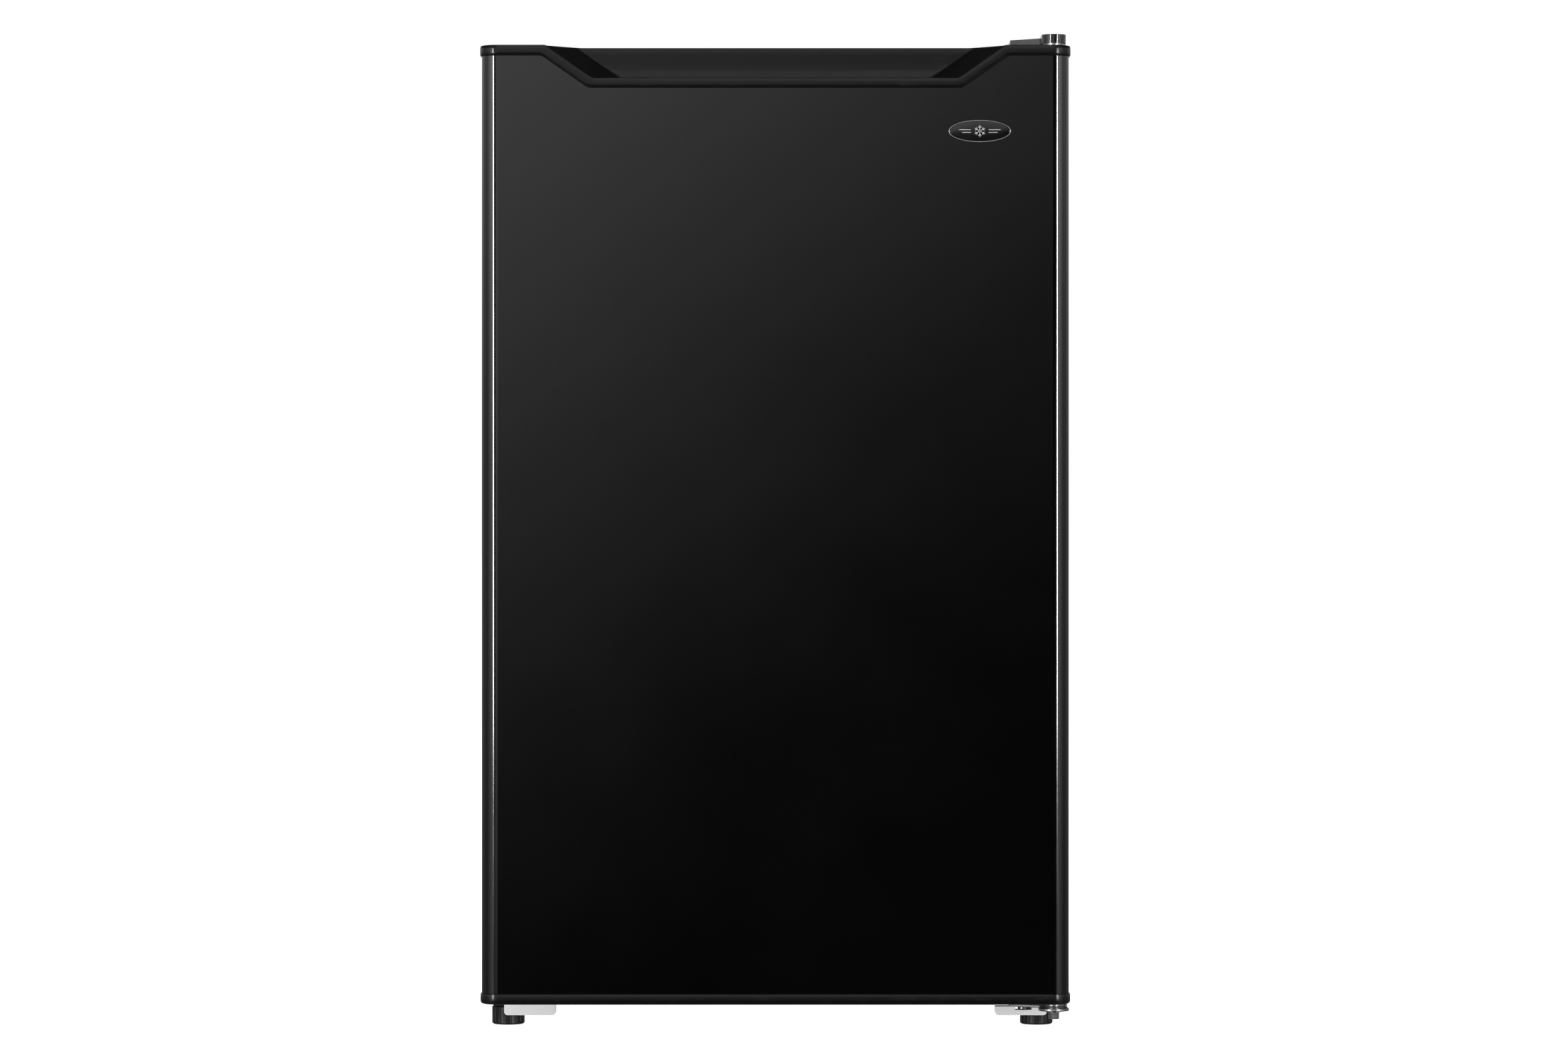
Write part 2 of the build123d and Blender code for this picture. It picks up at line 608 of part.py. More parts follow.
# ======================================================================= bottom hinge
PLATE_TOP = CABINET_LOW
PLATE_LOW = CABINET_LOW - 2.5
PIN_TOP = DOOR_LOW + BUSH_LONG - 3
LOWER_SCREWS = ((212.0, -196.0), (238.0, -196.0))
with BuildPart() as lower_hinge_plate:
    with BuildSketch(Plane.XY.offset(PLATE_LOW)):
        with Locations((HINGE_X, HINGE_Y)):
            Circle(13.0)
        Polygon(
            (HINGE_X - 12.6, HINGE_Y - 3),
            (HINGE_X + 12.0, HINGE_Y - 5),
            (HINGE_X + 12.0, -188),
            (200, -188),
            (200, -204),
            (HINGE_X - 10.5, -218),
            align=None,
        )
        with Locations((HINGE_X, HINGE_Y)):
            Circle(PIN_R, mode=Mode.SUBTRACT)
        with Locations(*LOWER_SCREWS):
            Circle(2.5, mode=Mode.SUBTRACT)
    extrude(amount=PLATE_TOP - PLATE_LOW)
    # turned-up lug that the door's foot stops against
    fill((HINGE_X + 9.4, HINGE_X + 12.0), (-238, -228), (PLATE_LOW, DOOR_LOW - 0.9))
write(lower_hinge_plate, "lower_hinge_plate")

with BuildPart() as lower_hinge_pin:
    with BuildSketch(Plane.XY.offset(PLATE_LOW)):
        with Locations((HINGE_X, HINGE_Y)):
            Circle(PIN_R)
    extrude(amount=PIN_TOP - PLATE_LOW)
    # collar that carries the door, over the plate, and a hexagon head under it
    with BuildSketch(Plane.XY.offset(PLATE_TOP)):
        with Locations((HINGE_X, HINGE_Y)):
            Circle(7.3)
    extrude(amount=DOOR_LOW - FLANGE_THICK - 0.1 - PLATE_TOP)
    with BuildSketch(Plane.XY.offset(PLATE_LOW)):
        with Locations((HINGE_X, HINGE_Y)):
            RegularPolygon(4.6, 6)
    extrude(amount=-7)
write(lower_hinge_pin, "lower_hinge_pin")

with BuildPart() as hinge_screws:
    # upper ones hold the bracket down on the cabinet
    with BuildSketch(Plane.XY.offset(CABINET_HIGH)):
        with Locations(*BRACKET_SCREWS):
            Circle(2.9)
    extrude(amount=HINGE_PLATE)
    with BuildSketch(Plane.XY.offset(CABINET_HIGH + HINGE_PLATE)):
        with Locations(*BRACKET_SCREWS):
            RegularPolygon(5.5, 6)
    extrude(amount=3.0)
    # lower ones hold the plate up under the front rail
    with BuildSketch(Plane.XY.offset(PLATE_TOP)):
        with Locations(*LOWER_SCREWS):
            Circle(2.4)
    extrude(amount=-2.5)
    with BuildSketch(Plane.XY.offset(PLATE_LOW)):
        with Locations(*LOWER_SCREWS):
            Circle(4.5)
    extrude(amount=-2.4)
write(hinge_screws, "hinge_screws")

# ======================================================================= front blocks and feet
for label, side, top in (("left", -1, CABINET_LOW), ("right", 1, PLATE_LOW)):
    with BuildPart() as front_block:
        with BuildSketch(Plane.XZ.offset(203)):
            with Locations((side * 210, (top + 10) / 2)):
                Rectangle(44, top - 10)
        extrude(amount=-12)
        fillet(front_block.edges().filter_by(Axis.Y).group_by(Axis.Z)[0], 3.0)
        if side > 0:
            # room for the heads of the hinge screws
            fill((205, 219), (-205, -189), (PLATE_LOW - 3, PLATE_LOW + 1), Mode.SUBTRACT)
    write(front_block, f"{label}_front_block")

for label, foot_x in (("left", LEFT_FOOT_X), ("right", RIGHT_FOOT_X)):
    with BuildPart() as foot_stem:
        with BuildSketch(Plane.XY.offset(3)):
            with Locations((foot_x, FOOT_Y)):
                Circle(STEM_R)
        extrude(amount=STEM_TOP - 3)
    write(foot_stem, f"{label}_foot_stem")
    with BuildPart() as foot_knob:
        with BuildSketch():
            with Locations((foot_x, FOOT_Y)):
                Circle(FOOT_R)
        extrude(amount=FOOT_HIGH)
        chamfer(foot_knob.edges().filter_by(GeomType.CIRCLE), 1.2)
        with BuildSketch(Plane.XY.offset(2.6)):
            with Locations((foot_x, FOOT_Y)):
                Circle(STEM_R + RUN_GAP)
        extrude(amount=FOOT_HIGH, mode=Mode.SUBTRACT)
        # finger grooves round the rim
        with Locations((foot_x, FOOT_Y, FOOT_HIGH / 2)):
            with PolarLocations(FOOT_R + 0.5, 18):
                Cylinder(1.3, FOOT_HIGH - 5, mode=Mode.SUBTRACT)
    write(foot_knob, f"{label}_foot_knob")

# ======================================================================= shelves
COVER_GLASS_LOW = COVER_LEVEL + TOUCH_GAP
GLASS_LEVELS = (("lower_shelf", SHELF_LEVELS[0]), ("upper_shelf", SHELF_LEVELS[1]), ("crisper_cover", COVER_LEVEL))
for label, level in GLASS_LEVELS:
    low = level + TOUCH_GAP
    with BuildPart() as glass:
        fill((-SHELF_HALF, SHELF_HALF), (SHELF_FRONT, ROOM_BACK - 6), (low, low + GLASS))
    write(glass, f"{label}_glass")

with BuildPart() as shelf_trims:
    for _, level in GLASS_LEVELS:
        low = level + TOUCH_GAP
        for front, back in ((SHELF_FRONT - 2, SHELF_FRONT + 8), (ROOM_BACK - 14, ROOM_BACK - 4)):
            fill((-SHELF_HALF, SHELF_HALF), (front, back), (low - 2, low + GLASS + 2))
        # channels for the glass, and the ends cut back over the ledges
        slot = (-SHELF_HALF - 1, SHELF_HALF + 1)
        fill(slot, (SHELF_FRONT, ROOM_BACK - 6), (low, low + GLASS), Mode.SUBTRACT)
        for side in (-1, 1):
            ledge = sorted((side * (ROOM_HALF - LEDGE_DEEP - 0.5), side * (ROOM_HALF + 1)))
            fill(ledge, (SHELF_FRONT - 4, ROOM_BACK), (low - 3, low), Mode.SUBTRACT)
write(shelf_trims, "shelf_trims")

# ======================================================================= crisper drawer
with BuildPart() as crisper_drawer:
    with BuildSketch(Plane.XY.offset(ROOM_LOW + 1)):
        with Locations((0, -27)):
            Rectangle(388, 152)
    with BuildSketch(Plane.XY.offset(ROOM_LOW + 160)):
        with Locations((0, -27)):
            Rectangle(396, 158)
    loft()
    fillet(crisper_drawer.edges().filter_by(lambda e: abs(e.tangent_at(0.5).Z) > 0.9), 10)
    offset(amount=-TRAY_WALL, openings=crisper_drawer.faces().sort_by(Axis.Z)[-1])
write(crisper_drawer, "crisper_drawer")

# ======================================================================= freezer box
with BuildPart() as evaporator_box:
    half, wall = FREEZER_HALF, FREEZER_SHEET
    fill((-half, half), (FREEZER_FRONT, FREEZER_BACK), (FREEZER_LOW, FREEZER_HIGH))
    fillet(evaporator_box.edges().filter_by(Axis.Y), 12.0)
    offset(amount=-wall, openings=evaporator_box.faces().sort_by(Axis.Y)[0])
write(evaporator_box, "evaporator_box")

FRAME_LOW, FRAME_HIGH = 642.0, 789.0
FRAME_BACK = FREEZER_FRONT
FRAME_FRONT = FREEZER_FRONT - 6
with BuildPart() as freezer_frame:
    with BuildSketch(Plane.XZ.offset(-FRAME_FRONT)):
        with Locations((0, (FRAME_LOW + FRAME_HIGH) / 2)):
            RectangleRounded(2 * 207, FRAME_HIGH - FRAME_LOW, 6)
        with Locations((0, (FREEZER_LOW + FREEZER_HIGH) / 2)):
            RectangleRounded(2 * 192, FREEZER_HIGH - FREEZER_LOW - 16, 6, mode=Mode.SUBTRACT)
    extrude(amount=-(FRAME_BACK - FRAME_FRONT))
    # ears that the flap's pins turn in
    for side in (-1, 1):
        ear = sorted((side * 201.0, side * 206.0))
        fill(ear, (FLAP_PIN_Y - 4.5, FRAME_FRONT), (FLAP_PIN_Z - 4.5, FLAP_PIN_Z + 4.5))
    with BuildSketch(Plane.YZ.offset(-210)):
        with Locations((FLAP_PIN_Y, FLAP_PIN_Z)):
            Circle(FLAP_PIN_R + RUN_GAP)
    extrude(amount=420, mode=Mode.SUBTRACT)
write(freezer_frame, "freezer_frame")

with BuildPart() as freezer_flap:
    fill((-199, 199), (FLAP_PIN_Y + 0.5, FRAME_FRONT - 1.5), (FLAP_PIN_Z - 2, FREEZER_HIGH + 2))
    fillet(freezer_flap.edges().filter_by(Axis.Y).group_by(Axis.Z)[-1], 8)
    with BuildSketch(Plane.YZ.offset(-199)):
        with Locations((FLAP_PIN_Y, FLAP_PIN_Z)):
            Circle(3.6)
    extrude(amount=398)
    with BuildSketch(Plane.YZ.offset(-205)):
        with Locations((FLAP_PIN_Y, FLAP_PIN_Z)):
            Circle(FLAP_PIN_R)
    extrude(amount=410)
    # grip along the top
    fill((-70, 70), (FLAP_PIN_Y - 9, FLAP_PIN_Y + 1), (FREEZER_HIGH - 8, FREEZER_HIGH - 4))
write(freezer_flap, "freezer_flap")

with BuildPart() as tray_rails:
    for side in (-1, 1):
        fill(sorted((side * 198.4, side * 200.0)), (FREEZER_FRONT, 150), (TRAY_LIP - 2.5, FREEZER_LOW))
        fill(sorted((side * 190.0, side * 200.0)), (FREEZER_FRONT, 150), (TRAY_LIP - 2.5, TRAY_LIP - 0.5))
write(tray_rails, "tray_rails")

with BuildPart() as drip_tray:
    fill((-187, 187), (FREEZER_FRONT + 1, 150), (TRAY_LOW, TRAY_LIP + 2))
    fillet(drip_tray.edges().filter_by(Axis.Z), 8)
    offset(amount=-TRAY_WALL, openings=drip_tray.faces().sort_by(Axis.Z)[-1])
    with BuildSketch(Plane.XY.offset(TRAY_LIP)):
        with Locations((0, (FREEZER_FRONT + 151) / 2)):
            Rectangle(2 * 197.5, 149 - FREEZER_FRONT)
            RectangleRounded(2 * 185, 149 - FREEZER_FRONT - 4, 6, mode=Mode.SUBTRACT)
    extrude(amount=2)
write(drip_tray, "drip_tray")

# ======================================================================= thermostat
with BuildPart() as thermostat_housing:
    fill((DIAL_FOOT, ROOM_HALF), (-90, 40), (541, 598))
    fillet(thermostat_housing.edges().filter_by(Axis.X), 8)
    chamfer(thermostat_housing.faces().sort_by(Axis.X)[0].edges(), 4)
    offset(amount=-2.0, openings=thermostat_housing.faces().sort_by(Axis.X)[-1])
write(thermostat_housing, "thermostat_housing")

with BuildPart() as thermostat_knob:
    with BuildSketch(Plane.YZ.offset(DIAL_FACE)):
        with Locations((DIAL_Y, DIAL_Z)):
            Circle(DIAL_R)
    extrude(amount=DIAL_FOOT - 0.4 - DIAL_FACE)
    chamfer(thermostat_knob.edges().group_by(Axis.X)[0], 1.5)
    # pointer rib, then the well for the button
    fill((DIAL_FACE - 1.6, DIAL_FACE + 1), (DIAL_Y - 1.5, DIAL_Y + 1.5), (DIAL_Z + 8, DIAL_Z + DIAL_R - 3))
    with BuildSketch(Plane.YZ.offset(DIAL_FACE - 2)):
        with Locations((DIAL_Y, DIAL_Z)):
            Circle(BUTTON_R + RUN_GAP)
    extrude(amount=12.5, mode=Mode.SUBTRACT)
write(thermostat_knob, "thermostat_knob")

with BuildPart() as defrost_button:
    with BuildSketch(Plane.YZ.offset(DIAL_FACE - 3.5)):
        with Locations((DIAL_Y, DIAL_Z)):
            Circle(BUTTON_R)
    extrude(amount=10)
    fillet(defrost_button.edges().group_by(Axis.X)[0], 1.0)
write(defrost_button, "defrost_button")

# ======================================================================= condenser on the back
COIL_Y = 250.0
COIL_R = 2.5
COIL_HALF = 185.0
COIL_TOP = 797.0
COIL_PITCH = 40.0
COIL_RUNS = 15
RISER_X = 208.0
WIRE_R = 0.8
WIRE_COUNT = 36
coil_path = [(RISER_X, COIL_Y, 150), (RISER_X, COIL_Y, COIL_TOP)]
for run in range(COIL_RUNS):
    side = -1 if run % 2 == 0 else 1
    if run:
        coil_path.append((-side * COIL_HALF, COIL_Y, COIL_TOP - run * COIL_PITCH))
    coil_path.append((side * COIL_HALF, COIL_Y, COIL_TOP - run * COIL_PITCH))
DRIER_X, DRIER_TOP = -COIL_HALF, 176.0
coil_path.append((DRIER_X, COIL_Y, DRIER_TOP))
with BuildPart() as condenser_tube:
    with BuildLine() as coil:
        FilletPolyline(*coil_path, radius=18)
    with BuildSketch(Plane(origin=coil_path[0], z_dir=(0, 0, 1))):
        Circle(COIL_R)
    sweep(path=coil.line)
write(condenser_tube, "condenser_tube")

coil_low = COIL_TOP - (COIL_RUNS - 1) * COIL_PITCH
with BuildPart() as condenser_wires:
    for side in (-1, 1):
        wire_y = COIL_Y + side * (COIL_R + WIRE_R + 0.05)
        with Locations((0, wire_y, (COIL_TOP + coil_low) / 2)):
            with GridLocations(2 * (COIL_HALF - 22) / (WIRE_COUNT - 1), 1, WIRE_COUNT, 1):
                Cylinder(WIRE_R, COIL_TOP - coil_low + 16)
write(condenser_wires, "condenser_wires")

with BuildPart() as condenser_brackets:
    for x in (-174, 174):
        for z in (COIL_TOP - 1.5 * COIL_PITCH, coil_low + 1.5 * COIL_PITCH):
            fill((x - 6, x + 6), (CABINET_BACK, CABINET_BACK + 1), (z - 16, z + 16))
            fill((x - 6, x + 6), (CABINET_BACK, BACK), (z - 1, z + 1))
            fill((x - 6, x + 6), (BACK - 1, BACK), (z - 16, z + 16))
write(condenser_brackets, "condenser_brackets")

# ======================================================================= compressor bay
CAN_X, CAN_Y = -40.0, 172.0
CAN_LONG, CAN_WIDE = 75.0, 58.0
CAN_LOW, CAN_SEAM, CAN_HIGH = 36.0, 100.0, 166.0
MOUNT_X = (CAN_X - 82, CAN_X + 82)
MOUNT_Y = (CAN_Y - 35, CAN_Y + 35)
with BuildPart() as compressor:
    with BuildSketch(Plane.XY.offset(CAN_LOW)):
        with Locations((CAN_X, CAN_Y)):
            Ellipse(CAN_LONG, CAN_WIDE)
    extrude(amount=CAN_HIGH - CAN_LOW)
    fillet(compressor.edges().group_by(Axis.Z)[-1], 26)
    fillet(compressor.edges().group_by(Axis.Z)[0], 16)
    with BuildSketch(Plane.XY.offset(CAN_SEAM)):
        with Locations((CAN_X, CAN_Y)):
            Ellipse(CAN_LONG + 3, CAN_WIDE + 3)
    extrude(amount=3)
    with BuildSketch(Plane.XY.offset(CAN_LOW - 3)):
        with Locations((CAN_X, CAN_Y)):
            Rectangle(2 * 94, 2 * 46)
        with Locations(*((x, y) for x in MOUNT_X for y in MOUNT_Y)):
            Circle(4.2, mode=Mode.SUBTRACT)
    extrude(amount=3)
write(compressor, "compressor")

RAIL_TOP = 23.0
with BuildPart() as compressor_rail:
    fill((-PANEL_IN, PANEL_IN), (CAN_Y - 56, CAN_Y + 60), (RAIL_TOP - 2, RAIL_TOP))
    fill((-PANEL_IN, PANEL_IN), (CAN_Y - 56, CAN_Y - 54), (RAIL_TOP - 2, RAIL_TOP + 12))
    fill((-PANEL_IN, PANEL_IN), (CAN_Y + 58, CAN_Y + 60), (RAIL_TOP - 2, RAIL_TOP + 12))
write(compressor_rail, "compressor_rail")

with BuildPart() as compressor_mounts:
    for x in MOUNT_X:
        for y in MOUNT_Y:
            with BuildSketch(Plane.XY.offset(RAIL_TOP)):
                with Locations((x, y)):
                    Circle(11)
            extrude(amount=CAN_LOW - 3 - RAIL_TOP)
            with BuildSketch(Plane.XY.offset(RAIL_TOP)):
                with Locations((x, y)):
                    Circle(4)
            extrude(amount=22)
            with BuildSketch(Plane.XY.offset(CAN_LOW)):
                with Locations((x, y)):
                    RegularPolygon(7, 6)
            extrude(amount=5)
write(compressor_mounts, "compressor_mounts")

with BuildPart() as relay_box:
    fill((CAN_X - 26, CAN_X + 26), (CAN_Y + CAN_WIDE + 4, BACK - 2), (52, 96))
    fillet(relay_box.edges().filter_by(Axis.Y), 5)
write(relay_box, "relay_box")

with BuildPart() as filter_drier:
    with BuildSketch(Plane.XY.offset(70)):
        with Locations((DRIER_X, COIL_Y)):
            Circle(8)
    extrude(amount=DRIER_TOP - 70)
    chamfer(filter_drier.edges().filter_by(GeomType.CIRCLE), 4.5)
write(filter_drier, "filter_drier")

with BuildPart() as refrigerant_pipes:
    starts = (
        [(CAN_X + CAN_LONG, CAN_Y, 78), (RISER_X, CAN_Y, 78), (RISER_X, COIL_Y, 78), (RISER_X, COIL_Y, 150)],
        [
            (CAN_X - CAN_LONG, CAN_Y, 78),
            (-145, CAN_Y, 78),
            (-145, COIL_Y, 78),
            (-145, COIL_Y, 214),
            (-145, CABINET_BACK, 214),
        ],
    )
    for points in starts:
        with BuildLine() as run:
            FilletPolyline(*points, radius=12)
        along = 1 if points[1][0] > points[0][0] else -1
        with BuildSketch(Plane(origin=points[0], z_dir=(along, 0, 0))):
            Circle(COIL_R)
        sweep(path=run.line)
write(refrigerant_pipes, "refrigerant_pipes")

with BuildPart() as drain_pan:
    fill((CAN_X - 70, CAN_X + 70), (CAN_Y - 50, CAN_Y + 50), (CAN_HIGH, CAN_HIGH + 24))
    fillet(drain_pan.edges().filter_by(Axis.Z), 10)
    offset(amount=-1.8, openings=drain_pan.faces().sort_by(Axis.Z)[-1])
write(drain_pan, "drain_pan")

with BuildPart() as cord_inlet:
    with BuildSketch(Plane.XZ.offset(-(CAN_Y + 60))):
        with Locations((160, RAIL_TOP + 4)):
            RectangleRounded(26, 14, 4)
    extrude(amount=-9)
    with BuildSketch(Plane.XZ.offset(-(CAN_Y + 60))):
        with Locations((160, RAIL_TOP + 4)):
            Circle(4)
    extrude(amount=-12, mode=Mode.SUBTRACT)
write(cord_inlet, "cord_inlet")

with BuildPart() as rear_feet:
    with BuildSketch():
        with Locations((-222, 200), (222, 200)):
            Circle(14)
    extrude(amount=RAIL_TOP - 2)
    chamfer(rear_feet.edges().filter_by(GeomType.CIRCLE).group_by(Axis.Z)[0], 1.2)
write(rear_feet, "rear_feet")
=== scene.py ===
"""Looks of a compact upright fridge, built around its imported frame.

Lengths are in metres, in the shared frame: the origin is on the floor under the middle of the fridge, +X is
the hinge side, +Y the back and +Z up. Each sub-assembly is a class that holds its sizes, builds its meshes
and dresses them; each finish is a small frozen class that makes one procedural material.
"""

import logging
import math
from dataclasses import dataclass
from enum import Enum
from typing import Callable, Iterable, Sequence

import bmesh
import bpy
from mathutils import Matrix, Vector


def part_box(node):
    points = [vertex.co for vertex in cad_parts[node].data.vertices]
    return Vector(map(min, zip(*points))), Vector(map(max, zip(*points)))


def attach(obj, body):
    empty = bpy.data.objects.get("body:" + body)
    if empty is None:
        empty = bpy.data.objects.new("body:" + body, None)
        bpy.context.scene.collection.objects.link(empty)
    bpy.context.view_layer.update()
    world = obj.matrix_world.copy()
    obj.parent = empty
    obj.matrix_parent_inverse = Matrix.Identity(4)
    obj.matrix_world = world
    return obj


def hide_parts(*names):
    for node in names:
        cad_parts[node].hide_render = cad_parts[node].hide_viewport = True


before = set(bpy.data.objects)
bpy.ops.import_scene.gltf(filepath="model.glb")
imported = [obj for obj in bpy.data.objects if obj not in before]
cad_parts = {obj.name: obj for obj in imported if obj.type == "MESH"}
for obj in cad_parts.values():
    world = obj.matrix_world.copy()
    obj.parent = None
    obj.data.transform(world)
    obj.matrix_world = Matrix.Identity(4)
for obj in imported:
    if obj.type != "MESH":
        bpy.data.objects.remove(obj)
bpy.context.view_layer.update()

log = logging.getLogger("fridge")

MM = 0.001
Point = tuple[float, float, float]
Face = tuple[int, ...]
Station = tuple[Vector, Vector]
Outline = Sequence[tuple[float, float]]
Shape = tuple[list[Point], list[Face]]
Socket = bpy.types.NodeSocket


# ------------------------------------------------------------------------------------- shading helpers
class Shade:
    """A material's node tree, with short calls that add and join its nodes."""

    def __init__(self, name: str) -> None:
        """Starts an empty tree that reads the object's own coordinates."""
        self.material = bpy.data.materials.new(name)
        self.material.use_nodes = True
        self.tree = self.material.node_tree
        self.tree.nodes.clear()
        self.place = self.add("ShaderNodeTexCoord").outputs["Object"]

    def add(self, kind: str, **values: object) -> bpy.types.Node:
        """Adds a node and sets its sockets or its own properties.

        Args:
            kind: the node's type name.
            values: socket names (with _ for a space) or property names, and what to set them to.

        Returns:
            The new node.
        """
        node = self.tree.nodes.new(kind)
        for key, value in values.items():
            if hasattr(node, key) and key not in ("color",):
                setattr(node, key, value)
            else:
                self.feed(node.inputs[key.replace("_", " ")], value)
        return node

    def feed(self, socket: Socket, value: object) -> None:
        """Gives a socket a fixed value, or joins another node's output to it."""
        if isinstance(value, Socket):
            self.tree.links.new(value, socket)
        else:
            socket.default_value = value

    def stretched(self, scale: Point) -> Socket:
        """Object coordinates multiplied along each axis, for a pattern longer one way than another."""
        node = self.add("ShaderNodeMapping", vector_type="POINT")
        self.feed(node.inputs["Vector"], self.place)
        node.inputs["Scale"].default_value = scale
        return node.outputs["Vector"]

    def noise(self, scale: float, detail: float = 3.0, where: Socket | None = None) -> Socket:
        """Soft noise between 0 and 1.

        Args:
            scale: how many blotches to the metre.
            detail: how many finer layers lie over them.
            where: coordinates to read in place of the object's own.

        Returns:
            The noise value.
        """
        node = self.add("ShaderNodeTexNoise", Scale=scale, Detail=detail)
        self.feed(node.inputs["Vector"], where or self.place)
        return node.outputs["Fac"]

    def cells(self, scale: float, where: Socket | None = None) -> Socket:
        """Distance to the nearest of a scatter of points, for leathery or speckled surfaces."""
        node = self.add("ShaderNodeTexVoronoi", Scale=scale)
        self.feed(node.inputs["Vector"], where or self.place)
        return node.outputs["Distance"]

    def spread(
        self, value: Socket, low: float, high: float, start: float = 0.3, stop: float = 0.7
    ) -> Socket:
        """Maps start..stop of a value to low..high, clamped."""
        node = self.add("ShaderNodeMapRange", clamp=True)
        self.feed(node.inputs["Value"], value)
        for name, number in (("From Min", start), ("From Max", stop), ("To Min", low), ("To Max", high)):
            node.inputs[name].default_value = number
        return node.outputs["Result"]

    def tint(self, amount: Socket | float, first: Sequence[float], second: Sequence[float]) -> Socket:
        """Mixes two colours by an amount between 0 and 1."""
        node = self.add("ShaderNodeMix", data_type="RGBA")
        self.feed(node.inputs[0], amount)
        self.feed(node.inputs[6], (*first[:3], 1.0))
        self.feed(node.inputs[7], (*second[:3], 1.0))
        return node.outputs[2]

    def sum(self, first: Socket, second: Socket | float, kind: str = "ADD") -> Socket:
        """Joins two numbers by a math operation."""
        node = self.add("ShaderNodeMath", operation=kind)
        self.feed(node.inputs[0], first)
        self.feed(node.inputs[1], second)
        return node.outputs[0]

    def bump(self, height: Socket, depth: float, under: Socket | None = None) -> Socket:
        """Turns a height between 0 and 1 into a normal.

        Args:
            height: the height pattern.
            depth: the real height of 1, in metres.
            under: a normal that this one goes on top of.

        Returns:
            The bumped normal.
        """
        node = self.add("ShaderNodeBump", Strength=1.0, Distance=depth)
        self.feed(node.inputs["Height"], height)
        if under is not None:
            self.feed(node.inputs["Normal"], under)
        return node.outputs["Normal"]

    def finish(self, **sockets: object) -> bpy.types.Material:
        """Ends the tree in one principled shader.

        Args:
            sockets: the shader's socket names (with _ for a space) and their values.

        Returns:
            The finished material.
        """
        shader = self.add("ShaderNodeBsdfPrincipled")
        for key, value in sockets.items():
            self.feed(shader.inputs[key.replace("_", " ")], value)
        out = self.add("ShaderNodeOutputMaterial")
        self.tree.links.new(shader.outputs[0], out.inputs["Surface"])
        return self.material


# -------------------------------------------------------------------------------------------- finishes
@dataclass(frozen=True)
class CoatedSteel:
    """Steel sheet with a semi-gloss film: a very slight orange peel and a few faint rubbed patches."""

    name: str
    color: Point = (0.0006, 0.0006, 0.00064)
    roughness: float = 0.10
    peel: float = 2.0e-6

    def material(self) -> bpy.types.Material:
        """Builds the material."""
        s = Shade(self.name)
        rubbed = s.noise(9.0, 5.0)
        fine = s.noise(420.0, 2.0)
        normal = s.bump(fine, self.peel, s.bump(s.noise(70.0, 2.0), self.peel * 6))
        return s.finish(
            Base_Color=s.tint(s.spread(rubbed, 0.0, 1.0), self.color, [c * 1.5 for c in self.color]),
            Roughness=s.spread(rubbed, self.roughness - 0.008, self.roughness + 0.012),
            Normal=normal,
            IOR=1.5,
        )


@dataclass(frozen=True)
class Moulded:
    """Moulded plastic: a fine cast grain, flow marks along the part, and some handling polish."""

    name: str
    color: Point
    roughness: float = 0.3
    grain: float = 900.0
    depth: float = 6.0e-6
    mottle: float = 0.25
    subsurface: float = 0.0
    ior: float = 1.49

    def material(self) -> bpy.types.Material:
        """Builds the material."""
        s = Shade(self.name)
        flow = s.noise(14.0, 4.0, s.stretched((0.25, 1.0, 1.0)))
        grain = s.noise(self.grain, 3.0)
        scuff = s.noise(160.0, 6.0, s.stretched((0.35, 1.0, 1.0)))
        shade = s.tint(s.spread(flow, 0.0, 1.0), self.color, [c * (1 - self.mottle) for c in self.color])
        base = s.spread(flow, self.roughness - 0.03, self.roughness + 0.03)
        rough = s.sum(base, s.spread(scuff, 0.0, 0.10, 0.5, 0.75))
        return s.finish(
            Base_Color=shade,
            Roughness=rough,
            Normal=s.bump(grain, self.depth),
            IOR=self.ior,
            Subsurface_Weight=self.subsurface,
            Subsurface_Scale=0.004,
        )


@dataclass(frozen=True)
class Plated:
    """Plated or bare metal: a drawn or rolled grain one way, spangle, and duller patches."""

    name: str
    color: Point
    roughness: float = 0.28
    stretch: Point = (1.0, 1.0, 12.0)
    spangle: float = 0.12
    depth: float = 4.0e-6

    def material(self) -> bpy.types.Material:
        """Builds the material."""
        s = Shade(self.name)
        grain = s.noise(260.0, 4.0, s.stretched(self.stretch))
        patches = s.spread(s.cells(75.0), 0.0, 1.0, 0.1, 0.7)
        return s.finish(
            Base_Color=s.tint(patches, self.color, [c * (1 - self.spangle) for c in self.color]),
            Metallic=1.0,
            Roughness=s.sum(
                s.spread(grain, self.roughness - 0.06, self.roughness + 0.08),
                s.spread(s.noise(30.0, 4.0), 0.0, 0.10, 0.5, 0.8),
            ),
            Normal=s.bump(grain, self.depth),
        )


@dataclass(frozen=True)
class Rubber:
    """Matt rubber with bloom in its pores."""

    name: str
    color: Point
    roughness: float = 0.62

    def material(self) -> bpy.types.Material:
        """Builds the material."""
        s = Shade(self.name)
        bloom = s.noise(55.0, 5.0)
        pale = s.spread(bloom, 0.0, 1.0, 0.45, 0.75)
        return s.finish(
            Base_Color=s.tint(pale, self.color, [c + 0.03 for c in self.color]),
            Roughness=s.spread(bloom, self.roughness - 0.08, self.roughness + 0.12),
            Normal=s.bump(s.noise(1400.0, 2.0), 1.2e-5),
            IOR=1.5,
        )


